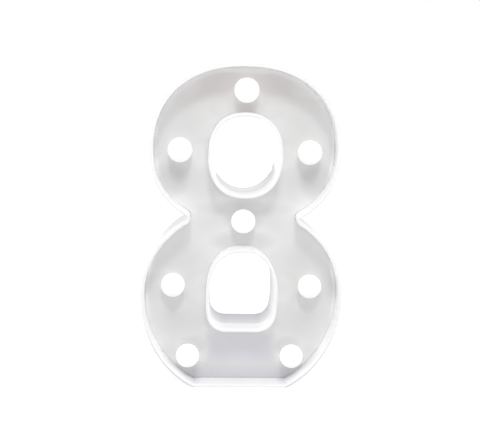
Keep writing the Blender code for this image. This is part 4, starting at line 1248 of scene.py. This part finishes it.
class MARQUEE_OT_bulbs(bpy.types.Operator):
    """The opal bulbs: hollow globes with a neck through the face"""

    bl_idname = "marquee.bulbs"
    bl_label = "Opal bulbs"

    def execute(self, context):
        settings = context.scene.marquee_bulbs
        floor = GAP + BULB_WALL
        catch = -FACE_THICKNESS - GAP
        foot = -FACE_THICKNESS - NECK_REACH

        def dome(radius, end, steps):
            last = math.acos((end - BULB_RISE) / radius)
            angles = [last * k / steps for k in range(steps + 1)]
            return [(radius * math.sin(a), BULB_RISE + radius * math.cos(a)) for a in angles]

        neck = [
            (NECK_RADIUS + EASE, GAP),
            (NECK_RADIUS, GAP - EASE),
            (NECK_RADIUS, catch),
            (NECK_RADIUS + SNAP_RIDGE, catch - SNAP_RIDGE),
            (NECK_RADIUS, catch - SNAP_LENGTH),
            (NECK_RADIUS, foot + EASE),
            (NECK_RADIUS - EASE, foot),
            (NECK_BORE, foot),
            (NECK_BORE, floor),
        ]
        inner = dome(BULB_RADIUS - BULB_WALL, floor, steps=8)
        work = bmesh.new()
        lathe(work, dome(BULB_RADIUS, GAP, steps=22) + neck + inner[::-1], sides=48)
        opal = plastic("opal diffuser", settings.opal_colour)
        opal.set({"Emission Color": (1.0, 0.992, 0.978, 1.0), "Emission Strength": settings.glow})
        template = finished("bulb_template", work)
        points = [(x, FACE_FRONT, z) for x, z in map(middle, BULBS)]
        tilt = (math.pi / 2, 0.0, 0.0)
        piece = repeated("opal_bulbs", template, points, opal.material, tilt)
        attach(piece, "lamp")
        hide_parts(*BULBS)
        return {"FINISHED"}


class MARQUEE_OT_leds(bpy.types.Operator):
    """The clear LEDs in the bulbs' necks"""

    bl_idname = "marquee.leds"
    bl_label = "LEDs"

    def execute(self, context):
        resin = plastic("clear resin", (0.9, 0.92, 0.88))
        resin.set({"Transmission Weight": 0.7, "IOR": 1.54})
        repaint(["led_" + place for place in PLACES], resin.material)
        return {"FINISHED"}


class MARQUEE_OT_screws(bpy.types.Operator):
    """The cover's pan-head screws, each with a cross recess turned its own way"""

    bl_idname = "marquee.screws"
    bl_label = "Cover screws"

    def execute(self, context):
        low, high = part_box(SCREWS[0])
        radius = (high[0] - low[0]) / 2
        profile = []
        steps = 6
        for k in range(steps + 1):
            angle = CROWN_SWEEP * k / steps
            height = SCREW_HEAD * (1 - CROWN_SHARE + CROWN_SHARE * math.cos(angle))
            profile.append((radius * math.sin(angle), height))
        profile += [(radius, HEAD_EDGE), (radius, 0.0), (SCREW_SHANK, 0.0)]
        for k in range(SCREW_TURNS):
            start = -THREAD_START - k * (SCREW_LENGTH - 2 * THREAD_START) / SCREW_TURNS
            profile += [(THREAD_CORE, start), (SCREW_SHANK, start - THREAD_EDGE)]
        profile += [(POINT_RADIUS, POINT_LENGTH - SCREW_LENGTH), (0.0, -SCREW_LENGTH)]
        work = bmesh.new()
        lathe(work, profile, sides=32)
        template = finished("screw_template", work, sharp=50)
        recess = (RECESS_HALF_LENGTH, RECESS_HALF_WIDTH)
        for half_x, half_y in (recess, recess[::-1]):
            bar = bmesh.new()
            low_corner = (-half_x, -half_y, SCREW_HEAD - RECESS_DEPTH)
            block(bar, low_corner, (half_x, half_y, SCREW_HEAD + PAST))
            for vert in bar.verts:
                if vert.co.z < SCREW_HEAD:
                    vert.co.xy *= RECESS_TAPER
            combined(template, bar, "DIFFERENCE")
        template.data.set_sharp_from_angle(angle=math.radians(40))
        seat = high[1] - SCREW_HEAD
        points = [(x, seat, z) for x, z in map(middle, SCREWS)]
        finish = metal("zinc plated screw")
        tilt = (-math.pi / 2, 0.0, 0.0)
        piece = repeated("cover_screws", template, points, finish, tilt, spin=1.5)
        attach(piece, "lamp")
        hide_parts(*SCREWS)
        return {"FINISHED"}


class MARQUEE_OT_cover(bpy.types.Operator):
    """The back cover with its keyhole, screw seats, switch cradle and battery bay"""

    bl_idname = "marquee.cover"
    bl_label = "Back cover"

    def battery_bay(self, work):
        """The stepped opening for the door, and the tray behind it. Gives its two rings."""
        sizes = (size + GAP for size in (DOOR_HALF_LENGTH, DOOR_HALF_HEIGHT, DOOR_CORNER))
        half_x, half_z, corner = sizes
        bay = LEDGE_WIDTH + GAP
        tray = bay - BAY_WALL
        inside = [*opening_edge(0.0), (0.0, LEDGE), (bay, LEDGE), (bay, BAY_FLOOR_Y)]
        outside = [(-BAY_WALL, COVER_FRONT), (-BAY_WALL, RIM_FRONT)]
        outside += [(tray, RIM_FRONT), (tray, BAY_FLOOR_Y - BAY_FLOOR)]
        edges = []
        for section in (inside, outside):
            levels = slab_levels(half_x, half_z, corner, (0.0, DOOR_Z), supported(section))
            edge, floor = skin(work, levels)
            work.faces.new(floor)
            edges.append(edge)
        return edges

    def switch_cradle(self, work):
        """The window that the knob slides in, and four walls round the switch."""
        knob_low, knob_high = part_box("switch_knob")
        low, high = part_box("switch_housing")
        place = middle("switch_housing")
        half_x, half_z = (high[0] - low[0]) / 2, (high[2] - low[2]) / 2
        window_x = (knob_high[0] - knob_low[0]) / 2 + GAP
        window_z = half_z - WINDOW_INSET
        window = opening_edge(0.0) + [(0.0, COVER_FRONT)]
        levels = slab_levels(window_x, window_z, WINDOW_CORNER, place, window)
        walls = [(0.0, COVER_FRONT), (0.0, CRADLE_FRONT)]
        walls += [(-CRADLE_WALL, depth) for _, depth in walls[::-1]]
        levels += slab_levels(half_x + GAP, half_z + GAP, GAP, place, walls, least=GAP)
        return skin(work, levels)

    def slots(self):
        """The openings for the door's hooks and for the contacts' tabs."""
        work = bmesh.new()
        bay_x = DOOR_HALF_LENGTH - LEDGE_WIDTH
        bay_z = DOOR_HALF_HEIGHT - LEDGE_WIDTH
        swing = math.hypot(BACK - COVER_FRONT + GAP + HOOK_THICKNESS, HOOK_REACH) + GAP
        for side in (-1, 1):
            x = side * DOOR_HALF_LENGTH * HOOK_SHARE
            half = HOOK_WIDTH / 2 + GAP
            low = (x - half, BACK - swing, DOOR_Z + bay_z - PAST)
            block(work, low, (x + half, COVER_FRONT, DOOR_TOP + GAP + BAY_WALL + PAST))
        for cell in ("cell_upper", "cell_lower"):
            z = middle(cell)[1]
            half = TAB_WIDTH / 2 + GAP
            low = (-bay_x - BAY_WALL - PAST, BAY_FLOOR_Y, z - half)
            block(work, low, (-bay_x + PAST, BAY_FLOOR_Y + TAB_THICKNESS + 2 * GAP, z + half))
        return work

    def execute(self, context):
        work = bmesh.new()
        pairs = [sweep(work, figure_outline(), outer_edge(LIP + GAP))]
        inset = WALL - LIP - GAP
        for outline in counter_outlines():
            pairs.append(sweep(work, outline, opening_edge(inset) + [(inset, COVER_FRONT)]))
        reach = SCREW_SEAT_RADIUS - SHANK_HOLE_RADIUS
        seat = opening_edge(0.0) + [(0.0, SCREW_SEAT), (reach, SCREW_SEAT), (reach, PAD_FRONT)]
        seat += [(-PAD_REACH, PAD_FRONT), (-PAD_REACH, COVER_FRONT)]
        for screw in SCREWS:
            pairs.append(sweep(work, circle(middle(screw), SCREW_SEAT_RADIUS, sides=36), seat))
        pairs.append(sweep(work, keyhole_outline(), opening_edge(0.0) + [(0.0, COVER_FRONT)]))
        pairs.append(self.battery_bay(work))
        pairs.append(self.switch_cradle(work))
        for rings in zip(*pairs):
            fill_flat(work, rings, 0)
        material = cover_material(context.scene.marquee_back)
        piece = finished("moulded_back_cover", work, [material])
        combined(piece, self.slots(), "DIFFERENCE")
        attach(piece, "lamp")
        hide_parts("back_cover")
        return {"FINISHED"}


class MARQUEE_OT_door(bpy.types.Operator):
    """The battery door with its two hooks, finger scoop and grip lines"""

    bl_idname = "marquee.door"
    bl_label = "Battery door"

    def hollows(self):
        """The finger scoop at the lower edge, and the grip lines above it."""
        work = bmesh.new()
        above = 0.001
        pivot = (SCOOP_RADIUS - SCOOP_ROUNDING, SCOOP_ROUNDING - SCOOP_DEPTH)
        dish = [(0.0, above), (SCOOP_RADIUS + EASE, above), (SCOOP_RADIUS + EASE, 0.0)]
        dish += [(SCOOP_RADIUS, -EASE), *arc(pivot, SCOOP_ROUNDING, 0, -90, steps=5)]
        dish += [(0.0, -SCOOP_DEPTH)]
        turn = Matrix.Rotation(-math.pi / 2, 4, "X")
        place = Matrix.Translation((0.0, BACK, DOOR_BOTTOM - SCOOP_RADIUS / 2)) @ turn
        lathe(work, dish, sides=96, place=place)
        for k in range(3):
            z = DOOR_BOTTOM + SCOOP_RADIUS / 2 + GRIP_SPACING * (k + 1)
            line = slab_outline(GRIP_HALF_LENGTH, GRIP_HALF_WIDTH, GRIP_CORNER, (0.0, z))
            for end in skin(work, [(line, BACK - GRIP_DEPTH), (line, BACK + GRIP_DEPTH)]):
                work.faces.new(end)
        return work

    def hooks(self):
        """Two hooks at the top edge, each an L in section."""
        work = bmesh.new()
        root = DOOR_TOP - GAP
        inside = COVER_FRONT + HOOK_ROOT
        toe_back = COVER_FRONT - GAP
        toe_front = toe_back - HOOK_THICKNESS
        tip = DOOR_TOP + HOOK_REACH
        section = (
            (inside, root),
            (toe_back, root),
            (toe_back, tip - EASE),
            (toe_back - EASE, tip),
            (toe_front + EASE, tip),
            (toe_front, tip - EASE),
            (toe_front, root - HOOK_THICKNESS),
            (inside, root - HOOK_THICKNESS),
        )
        for side in (-1, 1):
            x = side * DOOR_HALF_LENGTH * HOOK_SHARE
            ends = []
            for end in (x - HOOK_WIDTH / 2, x + HOOK_WIDTH / 2):
                ends.append([work.verts.new((end, y, z)) for y, z in section])
                work.faces.new(ends[-1])
            bridge(work, *ends)
        return work

    def execute(self, context):
        work = bmesh.new()
        sizes = (DOOR_HALF_LENGTH, DOOR_HALF_HEIGHT, DOOR_CORNER)
        levels = slab_levels(*sizes, (0.0, DOOR_Z), supported(outer_edge(0.0)))
        for end in skin(work, levels):
            work.faces.new(end)
        material = cover_material(context.scene.marquee_back)
        piece = finished("moulded_battery_door", work, [material])
        combined(piece, self.hooks(), "UNION")
        combined(piece, self.hollows(), "DIFFERENCE")
        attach(piece, "door")
        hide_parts("battery_door")
        return {"FINISHED"}


class MARQUEE_OT_marks(bpy.types.Operator):
    """The raised ON and OFF beside the switch"""

    bl_idname = "marquee.marks"
    bl_label = "Switch marks"

    def execute(self, context):
        x, z = middle("switch_housing")
        work = bmesh.new()
        for word, side in (("ON", 1), ("OFF", -1)):
            curve = bpy.data.curves.new(word, "FONT")
            curve.body = word
            curve.size = context.scene.marquee_back.mark_height * FONT_SIZE
            curve.extrude = 2 * MARK_BEVEL
            curve.bevel_depth = MARK_BEVEL
            curve.align_x = "CENTER"
            curve.align_y = "CENTER"
            guide = linked(word, curve)
            context.view_layer.update()
            graph = context.evaluated_depsgraph_get()
            mesh = bpy.data.meshes.new_from_object(guide.evaluated_get(graph))
            height = z + side * MARK_DISTANCE
            rows = ((-1, 0, 0, x), (0, 0, 1, BACK + MARK_BEVEL), (0, 1, 0, height), (0, 0, 0, 1))
            mesh.transform(Matrix(rows))
            work.from_mesh(mesh)
            bpy.data.objects.remove(guide, do_unlink=True)
        print_grey = plastic("mark print", (0.13, 0.13, 0.135)).material
        piece = finished("switch_marks", work, [print_grey])
        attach(piece, "lamp")
        return {"FINISHED"}


class MARQUEE_OT_cells(bpy.types.Operator):
    """The two cells, with steel ends and a film jacket"""

    bl_idname = "marquee.cells"
    bl_label = "Cells"

    def execute(self, context):
        jacket = plastic("cell jacket film", context.scene.marquee_back.jacket_colour)
        jacket.set({"Coat Weight": 0.6})
        band = plastic("cell band", (0.55, 0.56, 0.58))
        materials = [metal("cell steel"), jacket.material, band.material]
        # Each strip's material, from the tip to the bottom
        slots = [0] * 6 + [1, 1, 2, 2, 1, 1, 1, 0, 0]
        for node, side in (("cell_upper", -1), ("cell_lower", 1)):
            low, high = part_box(node)
            half = (high[0] - low[0]) / 2
            radius = (high[2] - low[2]) / 2
            turn = Matrix.Rotation(side * math.pi / 2, 4, "Y")
            shoulder = half - TIP_HEIGHT
            dip = shoulder - TIP_EDGE
            bottom = BOTTOM_RISE - half
            rim = radius - RIM_WIDTH
            profile = [(0.0, half), (TIP_RADIUS - TIP_EDGE, half)]
            profile += [(TIP_RADIUS, half - TIP_EDGE), (TIP_RADIUS, shoulder)]
            profile += [(SEAL_RADIUS - EASE, shoulder), (SEAL_RADIUS, dip)]
            profile += [(rim - RIM_SLOPE, dip), (rim, shoulder)]
            profile += [(radius - EASE, shoulder), (radius, dip)]
            profile += [(radius, shoulder - BAND_LENGTH), (radius, TIP_EDGE - half)]
            profile += [(radius - EASE, bottom), (rim - RIM_SLOPE, bottom)]
            profile += [(rim - 2 * RIM_SLOPE, -half), (0.0, -half)]
            work = bmesh.new()
            place = Matrix.Translation(centre(node)) @ turn
            lathe(work, profile, sides=48, place=place, slots=slots)
            piece = finished(node + "_dressed", work, materials)
            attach(piece, "lamp")
            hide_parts(node)
        return {"FINISHED"}


class MARQUEE_OT_contacts(bpy.types.Operator):
    """The contact plates and the two conical springs"""

    bl_idname = "marquee.contacts"
    bl_label = "Contacts"

    def execute(self, context):
        repaint(PLATES, metal("nickel contact"))
        tree = coil_tree()
        steel = metal("spring steel")
        for node, cell, side in (
            ("negative_spring", "cell_lower", -1),
            ("bridge_spring", "cell_upper", 1),
        ):
            piece = linked(node + "_coil", bpy.data.meshes.new(node))
            grow(piece, tree, {"Finish": steel})
            low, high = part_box(node)
            seat = low[0] if side < 0 else high[0]
            start = Vector((seat - side * SPRING_WIRE, *centre(cell)[1:]))
            turn = Matrix.Rotation(-side * math.pi / 2, 4, "Y")
            piece.data.transform(Matrix.Translation(start) @ turn)
            piece.data.shade_smooth()
            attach(piece, "lamp")
            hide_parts(node)
        return {"FINISHED"}


class MARQUEE_OT_switch(bpy.types.Operator):
    """The slide switch and its knob"""

    bl_idname = "marquee.switch"
    bl_label = "Switch"

    def execute(self, context):
        repaint(["switch_housing"], metal("tinned switch can"))
        repaint(["switch_knob"], plastic("black knob", (0.022, 0.022, 0.024)).material)
        return {"FINISHED"}


class MARQUEE_OT_wiring(bpy.types.Operator):
    """The jackets of the wires behind the face"""

    bl_idname = "marquee.wiring"
    bl_label = "Wiring"

    def execute(self, context):
        red = plastic("red wire jacket", (0.50, 0.02, 0.02)).material
        repaint(LINKS, plastic("white wire jacket", (0.80, 0.80, 0.78)).material)
        repaint(["wire_battery_to_switch", "wire_switch_to_led"], red)
        repaint(["wire_battery_to_led"], plastic("black wire jacket", (0.02, 0.02, 0.02)).material)
        return {"FINISHED"}


class MARQUEE_PT_panel(bpy.types.Panel):
    """Settings and makers of the marquee number"""

    bl_idname = "MARQUEE_PT_panel"
    bl_label = "Marquee number"
    bl_space_type = "VIEW_3D"
    bl_region_type = "UI"
    bl_category = "Marquee"

    def draw(self, context):
        for name in SETTINGS:
            box = self.layout.box()
            group = getattr(context.scene, name)
            for prop in group.bl_rna.properties:
                if not prop.is_hidden and prop.identifier not in ("rna_type", "name"):
                    box.prop(group, prop.identifier)
        for operator in OPERATORS:
            self.layout.operator(operator.bl_idname)


SETTINGS = {
    "marquee_shell": ShellSettings,
    "marquee_bulbs": BulbSettings,
    "marquee_back": BackSettings,
    "marquee_stage": StageSettings,
}

# In the order that they run in
OPERATORS = (
    MARQUEE_OT_stage,
    MARQUEE_OT_shell,
    MARQUEE_OT_bulbs,
    MARQUEE_OT_leds,
    MARQUEE_OT_screws,
    MARQUEE_OT_cover,
    MARQUEE_OT_door,
    MARQUEE_OT_marks,
    MARQUEE_OT_cells,
    MARQUEE_OT_contacts,
    MARQUEE_OT_switch,
    MARQUEE_OT_wiring,
)


def register():
    for name, group in SETTINGS.items():
        bpy.utils.register_class(group)
        setattr(bpy.types.Scene, name, bpy.props.PointerProperty(type=group))
    for operator in OPERATORS:
        bpy.utils.register_class(operator)
    bpy.utils.register_class(MARQUEE_PT_panel)


def unregister():
    bpy.utils.unregister_class(MARQUEE_PT_panel)
    for operator in reversed(OPERATORS):
        bpy.utils.unregister_class(operator)
    for name, group in reversed(SETTINGS.items()):
        delattr(bpy.types.Scene, name)
        bpy.utils.unregister_class(group)


def main():
    register()
    bpy.ops.marquee.stage()
    bpy.ops.marquee.shell()
    bpy.ops.marquee.bulbs()
    bpy.ops.marquee.leds()
    bpy.ops.marquee.screws()
    bpy.ops.marquee.cover()
    bpy.ops.marquee.door()
    bpy.ops.marquee.marks()
    bpy.ops.marquee.cells()
    bpy.ops.marquee.contacts()
    bpy.ops.marquee.switch()
    bpy.ops.marquee.wiring()


if __name__ == "__main__":
    main()
